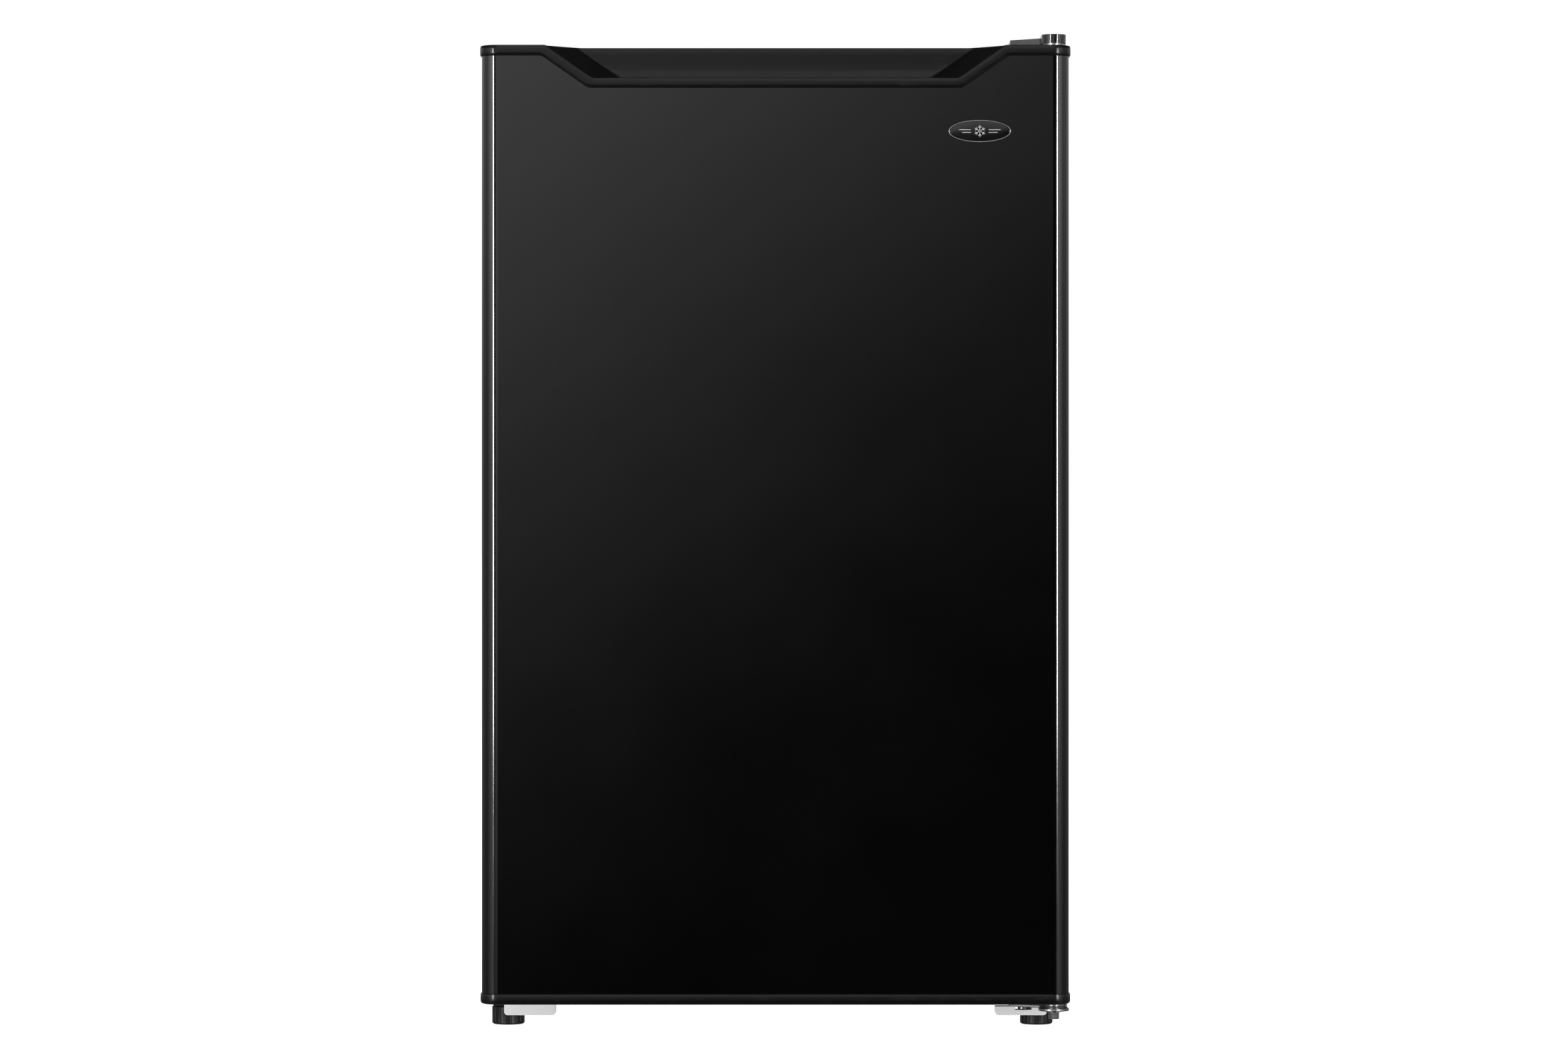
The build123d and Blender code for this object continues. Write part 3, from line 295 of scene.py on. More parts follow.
@dataclass(frozen=True)
class Clear:
    """Clear or frosted see-through plastic or glass, with a fine ripple and slight tint."""

    name: str
    color: Point
    roughness: float = 0.04
    ripple: float = 6.0e-6
    ior: float = 1.49
    transmission: float = 1.0

    def material(self) -> bpy.types.Material:
        """Builds the material."""
        s = Shade(self.name)
        cloud = s.noise(35.0, 5.0)
        return s.finish(
            Base_Color=s.tint(s.spread(cloud, 0.0, 1.0), self.color, [c * 0.96 for c in self.color]),
            Roughness=s.spread(cloud, self.roughness, self.roughness + 0.05),
            Transmission_Weight=self.transmission,
            Normal=s.bump(s.noise(60.0, 2.0), self.ripple),
            IOR=self.ior,
        )


@dataclass(frozen=True)
class Foam:
    """Cut edges of poured foam: small cells and uneven yellowing."""

    name: str
    color: Point = (0.78, 0.64, 0.36)

    def material(self) -> bpy.types.Material:
        """Builds the material."""
        s = Shade(self.name)
        cells = s.cells(650.0)
        age = s.spread(s.noise(22.0, 5.0), 0.0, 1.0)
        return s.finish(
            Base_Color=s.tint(age, self.color, [c * 0.72 for c in self.color]),
            Roughness=s.spread(cells, 0.75, 0.95),
            Normal=s.bump(cells, 2.5e-4),
            IOR=1.3,
        )


class Finish(Enum):
    """Every finish on the fridge."""

    DOOR_STEEL = CoatedSteel("door_steel")
    SIDE_STEEL = CoatedSteel("side_steel", (0.0045, 0.0045, 0.0047), 0.30, 9.0e-6)
    CAP_BLACK = Moulded("cap_black", (0.0035, 0.0035, 0.0037), 0.20, 700.0, 4.0e-6, 0.3, 0.0, 1.33)
    NAME_BLACK = Moulded("name_black", (0.003, 0.003, 0.0032), 0.12, 1200.0, 1.0e-6, 0.2)
    BAY_BLACK = Moulded("bay_black", (0.012, 0.012, 0.0125), 0.42, 800.0, 2.2e-5, 0.3)
    FOOT_BLACK = Moulded("foot_black", (0.004, 0.004, 0.0042), 0.40, 900.0, 1.0e-5, 0.3, 0.0, 1.38)
    LINER_WHITE = Moulded("liner_white", (0.66, 0.67, 0.66), 0.24, 500.0, 4.0e-6, 0.03, 0.15)
    BLOCK_WHITE = Moulded("block_white", (0.80, 0.81, 0.81), 0.34, 900.0, 1.0e-5, 0.04, 0.1)
    TRIM_WHITE = Moulded("trim_white", (0.64, 0.66, 0.67), 0.28, 900.0, 8.0e-6, 0.04, 0.1)
    DIAL_GREY = Moulded("dial_grey", (0.47, 0.50, 0.53), 0.36, 900.0, 1.2e-5, 0.08)
    BUTTON_RED = Moulded("button_red", (0.52, 0.018, 0.012), 0.22, 900.0, 4.0e-6, 0.15, 0.05)
    ENAMEL_BLACK = CoatedSteel("enamel_black", (0.010, 0.010, 0.0105), 0.34, 2.0e-5)
    ZINC = Plated("zinc", (0.62, 0.63, 0.65), 0.36, (1.0, 1.0, 10.0), 0.14)
    BRIGHT_ZINC = Plated("bright_zinc", (0.80, 0.80, 0.81), 0.17, (1.0, 1.0, 6.0), 0.08, 1.0e-5)
    HINGE_STEEL = Plated("hinge_steel", (0.34, 0.34, 0.35), 0.30, (1.0, 1.0, 6.0), 0.12, 1.2e-5)
    COVER_BLACK = Moulded("cover_black", (0.006, 0.006, 0.0063), 0.12, 700.0, 3.0e-6, 0.2)
    SATIN = Plated("satin", (0.80, 0.80, 0.81), 0.42, (4.0, 1.0, 1.0), 0.05, 2.0e-6)
    ALUMINIUM = Plated("aluminium", (0.77, 0.79, 0.80), 0.34, (12.0, 1.0, 1.0), 0.06, 6.0e-6)
    COPPER = Plated("copper", (0.73, 0.36, 0.22), 0.30, (1.0, 1.0, 8.0), 0.25)
    GASKET = Rubber("gasket", (0.030, 0.030, 0.031))
    GROMMET = Rubber("grommet", (0.020, 0.020, 0.021), 0.7)
    MAGNET = Rubber("magnet", (0.055, 0.048, 0.044), 0.7)
    RACK_CLEAR = Clear("rack_clear", (0.93, 0.96, 0.98), 0.05)
    FROSTED = Clear("frosted", (0.80, 0.90, 0.96), 0.32, 2.0e-5, 1.49, 0.75)
    GLASS = Clear("glass", (0.86, 0.95, 0.92), 0.01, 1.0e-6, 1.52)
    FOAM = Foam("foam")

    def get(self) -> bpy.types.Material:
        """The finish's material, made the first time that it is asked for."""
        made = bpy.data.materials.get(self.value.name)
        return made or self.value.material()


# ---------------------------------------------------------------------------------------- mesh helpers
def link(name: str, mesh: bpy.types.Mesh, finish: Finish, body: str) -> bpy.types.Object:
    """Puts a mesh in the scene as a piece that rides on a body.

    Args:
        name: the piece's name.
        mesh: its mesh, with its place in its vertices.
        finish: what it is made of.
        body: the CAD body that it moves with.

    Returns:
        The new object.
    """
    piece = bpy.data.objects.new(name, mesh)
    bpy.context.scene.collection.objects.link(piece)
    mesh.materials.clear()
    mesh.materials.append(finish.get())
    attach(piece, body)
    log.info("%s: %d faces on %s", name, len(mesh.polygons), body)
    return piece


def mesh_of(
    name: str, points: Sequence[Point], faces: Iterable[Face], smooth: bool = True, merge: float = 1e-6
) -> bpy.types.Mesh:
    """Makes a mesh with merged points and outward normals.

    Args:
        name: the mesh's name.
        points: its vertices.
        faces: its faces, by vertex number.
        smooth: whether its faces are shaded smooth.
        merge: how near two points must be to become one.

    Returns:
        The mesh.
    """
    mesh = bpy.data.meshes.new(name)
    mesh.from_pydata([tuple(p) for p in points], [], [tuple(f) for f in faces])
    bm = bmesh.new()
    bm.from_mesh(mesh)
    bmesh.ops.remove_doubles(bm, verts=bm.verts, dist=merge)
    bmesh.ops.dissolve_degenerate(bm, edges=bm.edges, dist=merge)
    bmesh.ops.recalc_face_normals(bm, faces=bm.faces)
    for face in bm.faces:
        face.smooth = smooth
    bm.to_mesh(mesh)
    bm.free()
    return mesh


def apply_modifiers(piece: bpy.types.Object) -> None:
    """Turns a piece's modifiers into its plain mesh."""
    depsgraph = bpy.context.evaluated_depsgraph_get()
    baked = bpy.data.meshes.new_from_object(piece.evaluated_get(depsgraph))
    piece.modifiers.clear()
    piece.data = baked


def smooth_group() -> bpy.types.NodeTree:
    """The node group that shades faces smooth except over edges sharper than its Angle."""
    name = "smooth_by_angle"
    made = bpy.data.node_groups.get(name)
    if made:
        return made
    tree = bpy.data.node_groups.new(name, "GeometryNodeTree")
    tree.interface.new_socket("Geometry", in_out="INPUT", socket_type="NodeSocketGeometry")
    angle = tree.interface.new_socket("Angle", in_out="INPUT", socket_type="NodeSocketFloat")
    angle.default_value = math.radians(38)
    tree.interface.new_socket("Geometry", in_out="OUTPUT", socket_type="NodeSocketGeometry")
    entry, out = tree.nodes.new("NodeGroupInput"), tree.nodes.new("NodeGroupOutput")
    faces = tree.nodes.new("GeometryNodeSetShadeSmooth")
    faces.domain = "FACE"
    faces.inputs["Shade Smooth"].default_value = True
    edges = tree.nodes.new("GeometryNodeSetShadeSmooth")
    edges.domain = "EDGE"
    edges.inputs["Shade Smooth"].default_value = False
    angle = tree.nodes.new("GeometryNodeInputMeshEdgeAngle")
    sharper = tree.nodes.new("FunctionNodeCompare")
    sharper.operation = "GREATER_THAN"
    tree.links.new(angle.outputs["Unsigned Angle"], sharper.inputs[0])
    tree.links.new(entry.outputs["Angle"], sharper.inputs[1])
    tree.links.new(entry.outputs["Geometry"], faces.inputs["Geometry"])
    tree.links.new(faces.outputs[0], edges.inputs["Geometry"])
    tree.links.new(sharper.outputs[0], edges.inputs["Selection"])
    tree.links.new(edges.outputs[0], out.inputs[0])
    return tree


def soften(piece: bpy.types.Object, width: float, segments: int = 2, angle: float = 32.0) -> None:
    """Rounds a piece's sharp edges and smooths its curved faces with live modifiers.

    Args:
        piece: the object.
        width: the rounding's width, or 0 for none.
        segments: how many faces the rounding has.
        angle: the least angle between faces that counts as an edge, in degrees.
    """
    weld = piece.modifiers.new("weld", "WELD")
    weld.merge_threshold = 2e-6
    if width:
        bevel = piece.modifiers.new("bevel", "BEVEL")
        bevel.width = width
        bevel.segments = segments
        bevel.limit_method = "ANGLE"
        bevel.angle_limit = math.radians(angle)
        bevel.use_clamp_overlap = True
    smooth = piece.modifiers.new("smooth", "NODES")
    smooth.node_group = smooth_group()
    weighted = piece.modifiers.new("weighted", "WEIGHTED_NORMAL")
    weighted.keep_sharp = True
    weighted.weight = 80


def harden(piece: bpy.types.Object, angle: float = 38.0) -> None:
    """Bakes a piece's modifiers, and keeps its shading from running over its sharp edges."""
    if piece.modifiers:
        apply_modifiers(piece)
    piece.data.set_sharp_from_angle(angle=math.radians(angle))
    weighted = piece.modifiers.new("weighted", "WEIGHTED_NORMAL")
    weighted.keep_sharp = True
    weighted.weight = 80
    apply_modifiers(piece)


def dress(node: str, finish: Finish, bevel: float = 0.0, segments: int = 2) -> None:
    """Gives a CAD node its finish, and rounds its edges where bevel isn't 0."""
    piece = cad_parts[node]
    for slot in piece.material_slots:
        slot.material = finish.get()
    if not piece.material_slots:
        piece.data.materials.append(finish.get())
    soften(piece, bevel, segments)
    log.info("%s: CAD node in %s", node, finish.name)


def ease_max(a: float, b: float, reach: float) -> float:
    """The larger of two numbers, with the change from one to the other rounded over reach."""
    h = max(reach - abs(a - b), 0.0) / reach
    return max(a, b) + h * h * reach / 4


def ease_min(a: float, b: float, reach: float) -> float:
    """The smaller of two numbers, with the change from one to the other rounded over reach."""
    return -ease_max(-a, -b, reach)


def arc(centre: tuple[float, float], radius: float, start: float, stop: float, steps: int) -> list[Station]:
    """Stations along an arc.

    Args:
        centre: the arc's centre.
        radius: its radius.
        start: its first angle, in degrees.
        stop: its last angle, in degrees.
        steps: how many pieces it is cut into.

    Returns:
        Each station's place and outward direction.
    """
    out = []
    for k in range(steps + 1):
        a = math.radians(start + (stop - start) * k / steps)
        n = Vector((math.cos(a), math.sin(a)))
        out.append((Vector(centre) + n * radius, n))
    return out


def drawn_in(station: Station, inset: float, low: Vector, high: Vector) -> Vector:
    """A station's place moved inwards; at a tight corner the places meet instead of crossing over.

    Args:
        station: the place and its outward direction.
        inset: how far inwards it goes.
        low: the outline's least x and y.
        high: its greatest x and y.

    Returns:
        The place.
    """
    at = station[0] - station[1] * inset
    return Vector(
        (min(max(at.x, low.x + inset), high.x - inset), min(max(at.y, low.y + inset), high.y - inset))
    )


def reach(stations: Sequence[Station]) -> tuple[Vector, Vector]:
    """The least and greatest x and y of an outline."""
    xs, ys = [p.x for p, _ in stations], [p.y for p, _ in stations]
    return Vector((min(xs), min(ys))), Vector((max(xs), max(ys)))


def skirt(
    stations: Sequence[Station], profile: Callable[[int], Outline]
) -> tuple[list[Point], list[Face], int]:
    """Sweeps a profile round a closed outline.

    Args:
        stations: the outline's places and outward directions, seen from above.
        profile: for a station's number, the profile's points as (distance inwards, height).

    Returns:
        The vertices, the faces, and how many points the profile has.
    """
    points: list[Point] = []
    low, high = reach(stations)
    for i, station in enumerate(stations):
        for inset, z in profile(i):
            at = drawn_in(station, inset, low, high)
            points.append((at.x, at.y, z))
    rows = len(points) // len(stations)
    faces: list[Face] = []
    for i in range(len(stations)):
        a, b = i * rows, ((i + 1) % len(stations)) * rows
        for j in range(rows - 1):
            faces.append((a + j, b + j, b + j + 1, a + j + 1))
    return points, faces, rows


def lathe(centre: tuple[float, float], profile: Outline, sides: int = 48) -> Shape:
    """Turns a profile about an upright line.

    Args:
        centre: the line's x and y.
        profile: (radius, height) from the bottom's middle to the top's middle.
        sides: how many faces go round.

    Returns:
        The vertices and the faces.
    """
    points: list[Point] = []
    for k in range(sides):
        a = 2 * math.pi * k / sides
        points += [(centre[0] + r * math.cos(a), centre[1] + r * math.sin(a), z) for r, z in profile]
    rows = len(profile)
    faces: list[Face] = []
    for k in range(sides):
        a, b = k * rows, ((k + 1) % sides) * rows
        for j in range(rows - 1):
            faces.append((a + j, b + j, b + j + 1, a + j + 1))
    return points, faces


# ------------------------------------------------------------------------------------- repeated pieces
class NodeRecipe:
    """A Geometry Nodes tree with named inputs, ending in realised instances with a material."""

    def __init__(self, name: str, inputs: Sequence[tuple[str, str, object]]) -> None:
        """Starts the tree.

        Args:
            name: the tree's name.
            inputs: each input's name, socket type and value.
        """
        self.tree = bpy.data.node_groups.new(name, "GeometryNodeTree")
        face = self.tree.interface
        face.new_socket("Geometry", in_out="INPUT", socket_type="NodeSocketGeometry")
        for label, kind, value in inputs:
            socket = face.new_socket(label, in_out="INPUT", socket_type=kind)
            if value is not None:
                socket.default_value = value
        face.new_socket("Geometry", in_out="OUTPUT", socket_type="NodeSocketGeometry")
        self.entry = self.tree.nodes.new("NodeGroupInput")
        self.values = {label: value for label, _, value in inputs}

    def add(self, kind: str, **values: object) -> bpy.types.Node:
        """Adds a node; a value that is a socket is joined, another one is set."""
        node = self.tree.nodes.new(kind)
        for key, value in values.items():
            if hasattr(node, key):
                setattr(node, key, value)
                continue
            socket = node.inputs[key.replace("_", " ")]
            if isinstance(value, Socket):
                self.tree.links.new(value, socket)
            else:
                socket.default_value = value
        return node

    def given(self, label: str) -> Socket:
        """The tree's own input of that name."""
        return self.entry.outputs[label]

    def bake(
        self, name: str, last: Socket, finish: Finish, source: bpy.types.Mesh | None = None
    ) -> bpy.types.Mesh:
        """Ends the tree, runs it once and keeps its result as a plain mesh.

        Args:
            name: the mesh's name.
            last: the output that holds the finished geometry.
            finish: the material that the tree sets.
            source: a mesh that the tree starts from, if it needs one.

        Returns:
            The plain mesh.
        """
        real = self.add("GeometryNodeRealizeInstances", Geometry=last)
        skin = self.add("GeometryNodeSetMaterial", Geometry=real.outputs[0], Material=finish.get())
        out = self.tree.nodes.new("NodeGroupOutput")
        self.tree.links.new(skin.outputs[0], out.inputs[0])
        carrier = bpy.data.objects.new(name + "_carrier", source or bpy.data.meshes.new(name + "_seed"))
        bpy.context.scene.collection.objects.link(carrier)
        modifier = carrier.modifiers.new("nodes", "NODES")
        modifier.node_group = self.tree
        for item in self.tree.interface.items_tree:
            if item.in_out == "INPUT" and self.values.get(item.name) is not None:
                modifier[item.identifier] = self.values[item.name]
        carrier.update_tag()
        depsgraph = bpy.context.evaluated_depsgraph_get()
        mesh = bpy.data.meshes.new_from_object(carrier.evaluated_get(depsgraph))
        mesh.name = name
        bpy.data.objects.remove(carrier)
        return mesh


def scattered(name: str, unit: bpy.types.Mesh, places: Sequence[Point], finish: Finish) -> bpy.types.Mesh:
    """Sets one small shape at every place.

    Args:
        name: the result's name.
        unit: the shape, about its own origin.
        places: where it goes.
        finish: its finish.

    Returns:
        One plain mesh of all of them.
    """
    unit_object = bpy.data.objects.new(name + "_unit", unit)
    bpy.context.scene.collection.objects.link(unit_object)
    seeds = bpy.data.meshes.new(name + "_places")
    seeds.from_pydata([tuple(p) for p in places], [], [])
    inputs = [("Unit", "NodeSocketObject", unit_object), ("Size", "NodeSocketFloat", 1.0)]
    recipe = NodeRecipe(name + "_tree", inputs)
    info = recipe.add("GeometryNodeObjectInfo", Object=recipe.given("Unit"))
    to_points = recipe.add("GeometryNodeMeshToPoints", Mesh=recipe.given("Geometry"))
    spread = recipe.add(
        "GeometryNodeInstanceOnPoints",
        Points=to_points.outputs[0],
        Instance=info.outputs["Geometry"],
        Scale=recipe.given("Size"),
    )
    mesh = recipe.bake(name, spread.outputs[0], finish, seeds)
    bpy.data.objects.remove(unit_object)
    return mesh


def rods(
    name: str,
    count: int,
    first: Point,
    step: Point,
    radius: float,
    length: float,
    finish: Finish,
    sides: int = 8,
) -> bpy.types.Mesh:
    """A row of equal upright round rods.

    Args:
        name: the result's name.
        count: how many rods.
        first: the middle of the first one.
        step: from each rod to the next.
        radius: a rod's radius.
        length: a rod's length.
        finish: its finish.
        sides: how many faces go round a rod.

    Returns:
        One plain mesh of all of them.
    """
    recipe = NodeRecipe(
        name + "_tree",
        [
            ("Count", "NodeSocketInt", count),
            ("First", "NodeSocketVector", first),
            ("Step", "NodeSocketVector", step),
            ("Radius", "NodeSocketFloat", radius),
            ("Length", "NodeSocketFloat", length),
            ("Sides", "NodeSocketInt", sides),
        ],
    )
    line = recipe.add("GeometryNodeMeshLine", Count=recipe.given("Count"), Offset=recipe.given("Step"))
    recipe.tree.links.new(recipe.given("First"), line.inputs["Start Location"])
    rod = recipe.add(
        "GeometryNodeMeshCylinder",
        Vertices=recipe.given("Sides"),
        Radius=recipe.given("Radius"),
        Depth=recipe.given("Length"),
    )
    smooth = recipe.add("GeometryNodeSetShadeSmooth", Geometry=rod.outputs["Mesh"])
    row = recipe.add("GeometryNodeInstanceOnPoints", Points=line.outputs[0], Instance=smooth.outputs[0])
    return recipe.bake(name, row.outputs[0], finish)


def tube(
    name: str, routes: Sequence[Sequence[Point]], radius: float, bend: float, finish: Finish, sides: int = 16
) -> bpy.types.Mesh:
    """Round tube along routes of straight runs with filleted bends.

    Args:
        name: the result's name.
        routes: each tube's corner points.
        radius: the tube's radius.
        bend: the radius of its bends.
        finish: its finish.
        sides: how many faces go round it.

    Returns:
        One plain mesh of all the tubes.
    """
    seeds = bpy.data.meshes.new(name + "_routes")
    points = [p for route in routes for p in route]
    edges, base = [], 0
    for route in routes:
        edges += [(base + k, base + k + 1) for k in range(len(route) - 1)]
        base += len(route)
    seeds.from_pydata([tuple(p) for p in points], edges, [])
    recipe = NodeRecipe(
        name + "_tree",
        [
            ("Radius", "NodeSocketFloat", radius),
            ("Bend", "NodeSocketFloat", bend),
            ("Sides", "NodeSocketInt", sides),
        ],
    )
    path = recipe.add("GeometryNodeMeshToCurve", Mesh=recipe.given("Geometry"))
    bent = recipe.add("GeometryNodeFilletCurve", mode="POLY", Curve=path.outputs[0])
    recipe.tree.links.new(recipe.given("Bend"), bent.inputs["Radius"])
    bent.inputs["Count"].default_value = 10
    bent.inputs["Limit Radius"].default_value = True
    ring = recipe.add("GeometryNodeCurvePrimitiveCircle", Resolution=recipe.given("Sides"))
    recipe.tree.links.new(recipe.given("Radius"), ring.inputs["Radius"])
    swept = recipe.add("GeometryNodeCurveToMesh", Curve=bent.outputs[0])
    recipe.tree.links.new(ring.outputs[0], swept.inputs["Profile Curve"])
    swept.inputs["Fill Caps"].default_value = True
    smooth = recipe.add("GeometryNodeSetShadeSmooth", Geometry=swept.outputs[0])
    return recipe.bake(name, smooth.outputs[0], finish, seeds)


# ---------------------------------------------------------------------------------- the door's outside
@dataclass
class Plan:
    """The door seen from above: where its front, rear and sides are, and how round its corners."""

    half: float
    front: float
    rear: float
    corner: float
    rear_corner: float = 0.002

    def stations(self, across: Sequence[float], steps: int = 14) -> list[Station]:
        """The outline's stations, front left to right and round.

        Args:
            across: the x places along the front and the rear.
            steps: how many pieces each front corner is cut into.

        Returns:
            The closed outline's places and outward directions.
        """
        inner, keep = self.half - self.corner, 0.0004
        flat = [x for x in across if abs(x) < inner - 2 * keep]
        xs = [-inner + keep, *flat, inner - keep]
        out = [(Vector((x, self.front)), Vector((0, -1))) for x in xs]
        out += arc((inner, self.front + self.corner), self.corner, -90, 0, steps)
        back = self.half - self.rear_corner
        low, high = self.front + self.corner + keep, self.rear - self.rear_corner - keep
        out += [(Vector((self.half, y)), Vector((1, 0))) for y in (low, high)]
        out += arc((back, self.rear - self.rear_corner), self.rear_corner, 0, 90, 4)
        out += [(Vector((x, self.rear)), Vector((0, 1))) for x in reversed(xs)]
        out += arc((-back, self.rear - self.rear_corner), self.rear_corner, 90, 180, 4)
        out += [(Vector((-self.half, y)), Vector((-1, 0))) for y in (high, low)]
        out += arc((-inner, self.front + self.corner), self.corner, 180, 270, steps)
        return out


@dataclass
class Grip:
    """The recessed grip in the door's top and the band that dips round it."""

    top: float
    slope: float = 26.7 / 38.5
    opening: float = 193.5 * MM
    lip_drop: float = 27.7 * MM
    band: float = 9.2 * MM
    band_corner: float = 197.5 * MM
    band_drop: float = 36.5 * MM
    floor_drop: float = 35.0 * MM
    lip: float = 8.0 * MM
    depth: float = 30.0 * MM
    inset: float = 24.0 * MM
    sweep: float = 16.0 * MM
    bend: float = 1.6 * MM

    def lip_top(self, x: float) -> float:
        """Height of the opening's edge at x."""
        fall = (self.opening - abs(x)) * self.slope
        return self.top - ease_min(ease_max(fall, 0.0, self.bend), self.lip_drop, self.bend)

    def band_low(self, x: float) -> float:
        """Height of the band's lower edge at x."""
        fall = (self.band_corner - abs(x)) * self.slope
        depth = ease_min(ease_max(fall, 0.0, self.bend), self.band_drop - self.band, self.bend)
        return self.top - self.band - depth

    def wall(self, x: float, back: float, floor: float) -> float:
        """Height of the hollow at x.

        Args:
            x: the place across the door.
            back: how far behind the lip's inner face, from 0 to 1 at the rear wall.
            floor: the height that the floor and rear wall have there.

        Returns:
            The height of the hollow's surface.
        """
        side = self.top - (self.opening - abs(x) - self.inset * back) * self.slope
        return ease_min(self.top, ease_max(floor, side, 4.0 * MM), 1.2 * MM)

    def rows(self, front: float) -> list[tuple[float, float]]:
        """The (y, height) rows of the hollow's middle, from the lip's foot back to the flat top."""
        foot = self.top - self.floor_drop
        rear = front + self.depth
        turn = rear - self.sweep
        out = [(front + self.lip + k * 1.1 * MM, foot) for k in (1.0, 2.5, 4.0)]
        for k in range(9):
            a = math.radians(10 * k)
            out.append((turn + self.sweep * math.sin(a), foot + self.sweep * (1 - math.cos(a))))
        out.append((rear, foot + self.sweep))
        out += [(rear, self.top - drop * MM) for drop in (12, 6, 2)]
        out += [(rear + 0.35 * MM, self.top - 0.6 * MM), (rear + 1.2 * MM, self.top - 0.06 * MM)]
        out += [(rear + 2.6 * MM, self.top), (rear + 6 * MM, self.top)]
        return out


@dataclass
class DoorShell:
    """The door's steel skin, its two end caps and the hole plugs."""

    skin_sheet: float = 0.8 * MM
    skin_corner: float = 14.0 * MM
    cap_corner: float = 15.5 * MM
    skin_rows: tuple[float, ...] = (0.0, 0.002, 0.05, 0.25, 0.5, 0.75, 0.95, 0.99, 1.0)
    hem: float = 14.0 * MM
    tuck: float = 3.0 * MM
    ring: float = 6.5 * MM
    wall: float = 2.2 * MM
    crown_top: float = 2.2 * MM
    crown_low: float = 1.9 * MM

    def __post_init__(self) -> None:
        """Reads the door's place from the frame."""
        self.cap_low, self.cap_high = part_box("door_top_cap")
        self.foot_low, self.foot_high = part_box("door_bottom_cap")
        self.skin_low, self.skin_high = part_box("door_skin")
        self.grip = Grip(self.cap_high.z)

    def across(self, fine: float = 1.5 * MM) -> list[float]:
        """The x places along the door's front: close together on the grip's slopes, wide apart elsewhere."""
        right: list[float] = [0.0]
        x = 0.0
        while x < 0.226:
            x += fine if 0.118 < x < 0.2005 else 13.0 * MM
            right.append(round(x, 6))
        return [-v for v in reversed(right[1:])] + right

    def skin(self) -> None:
        """The sheet that wraps the front and sides, with its top edge tucked behind the dipping band."""
        low, high = self.skin_low, self.skin_high
        plan = Plan(high.x, low.y, high.y, self.skin_corner)
        stations = plan.stations(self.across(), 20)

        def profile(i: int) -> list[tuple[float, float]]:
            """The sheet's heights at a station."""
            place, out = stations[i]
            top = high.z
            if out.y < -0.9 and abs(place.x) < self.grip.band_corner:
                top = self.grip.band_low(place.x) + self.tuck
            return [(0.0, low.z + (top - low.z) * t) for t in self.skin_rows]

        points, faces, _ = skirt(stations, profile)
        rear_half = high.x - self.hem
        rear = {v for v, p in enumerate(points) if p[1] > high.y - 1e-5 and abs(p[0]) < rear_half}
        mesh = mesh_of("door_sheet", points, [f for f in faces if not rear.issuperset(f)])
        piece = link("door_sheet", mesh, Finish.DOOR_STEEL, "door")
        thick = piece.modifiers.new("thick", "SOLIDIFY")
        thick.thickness, thick.offset = self.skin_sheet, -1.0
        thick.use_even_offset = True
        harden(piece)
        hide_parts("door_skin")

    def top_cap(self) -> None:
        """The upper cap: a bull-nosed band round the plan, a lip that dips, and the hollow behind it."""
        low, high, grip = self.cap_low, self.cap_high, self.grip
        plan = Plan(high.x, low.y, high.y, self.cap_corner)
        stations = plan.stations(self.across(), 16)

        def profile(i: int) -> list[tuple[float, float]]:
            """The band's outside, from its inner lower edge over the top."""
            place, out = stations[i]
            dips = out.y < -0.9 and abs(place.x) < grip.band_corner + 4 * MM
            top = grip.lip_top(place.x) if dips else grip.top
            foot = grip.band_low(place.x) if dips else grip.top - grip.band
            pts = [(self.ring, foot + 0.2 * MM), (3.2 * MM, foot), (2.3 * MM, foot)]
            tall = top - foot
            for k in range(1, 18):
                t = -1 + 2 * k / 18
                crown = self.crown_low if t < 0 else self.crown_top
                pts.append((crown * abs(t) ** 3.4, foot + tall * (0.5 + 0.5 * math.sin(math.pi / 2 * t))))
            pts.append((self.crown_top + 0.5 * MM, top))
            return [*pts, (self.ring * 0.6, top), (self.ring, top)]

        points, faces, _ = skirt(stations, profile)
        self._hollow(points, faces, low.y)
        mesh = mesh_of("door_top_moulding", points, faces, merge=2e-5)
        piece = link("door_top_moulding", mesh, Finish.CAP_BLACK, "door")
        self._thicken(piece)
        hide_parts("door_top_cap")

    def _hollow(self, points: list[Point], faces: list[Face], front: float) -> None:
        """Adds the flat top and the hollow to the band's points and faces."""
        grip = self.grip
        inner_front = front + self.ring
        rear = self.cap_high.y - self.ring
        xs = [x for x in self.across() if abs(x) < 0.2015]
        rows = grip.rows(front)
        base = len(points)
        heights = []
        for x in xs:
            edge = grip.lip_top(x)
            deep = grip.wall(x, 0.0, grip.top - grip.floor_drop)
            drop = max(edge - deep, 0.0)
            radius = min(grip.lip - self.ring, drop * 0.5)
            column = [(inner_front, edge)]
            for k in range(1, 5):
                a = math.radians(22.5 * k)
                y = inner_front + (grip.lip - self.ring) * math.sin(a)
                column.append((y, edge - radius * (1 - math.cos(a))))
            foot = front + grip.lip
            column.append((foot + 0.15 * MM, deep + min(1.2 * MM, drop * 0.35)))
            column.append((foot + 0.55 * MM, deep + min(0.3 * MM, drop * 0.1)))
            for y, floor in rows:
                back = (y - foot) / (grip.depth - grip.lip)
                column.append((y, grip.wall(x, min(max(back, 0.0), 1.0), floor)))
            column.append((rear, grip.top))
            heights.append(column)
        count = len(heights[0])
        for x, column in zip(xs, heights):
            points += [(x, y, z) for y, z in column]
        for i in range(len(xs) - 1):
            a, b = base + i * count, base + (i + 1) * count
            faces += [(a + j, b + j, b + j + 1, a + j + 1) for j in range(count - 1)]
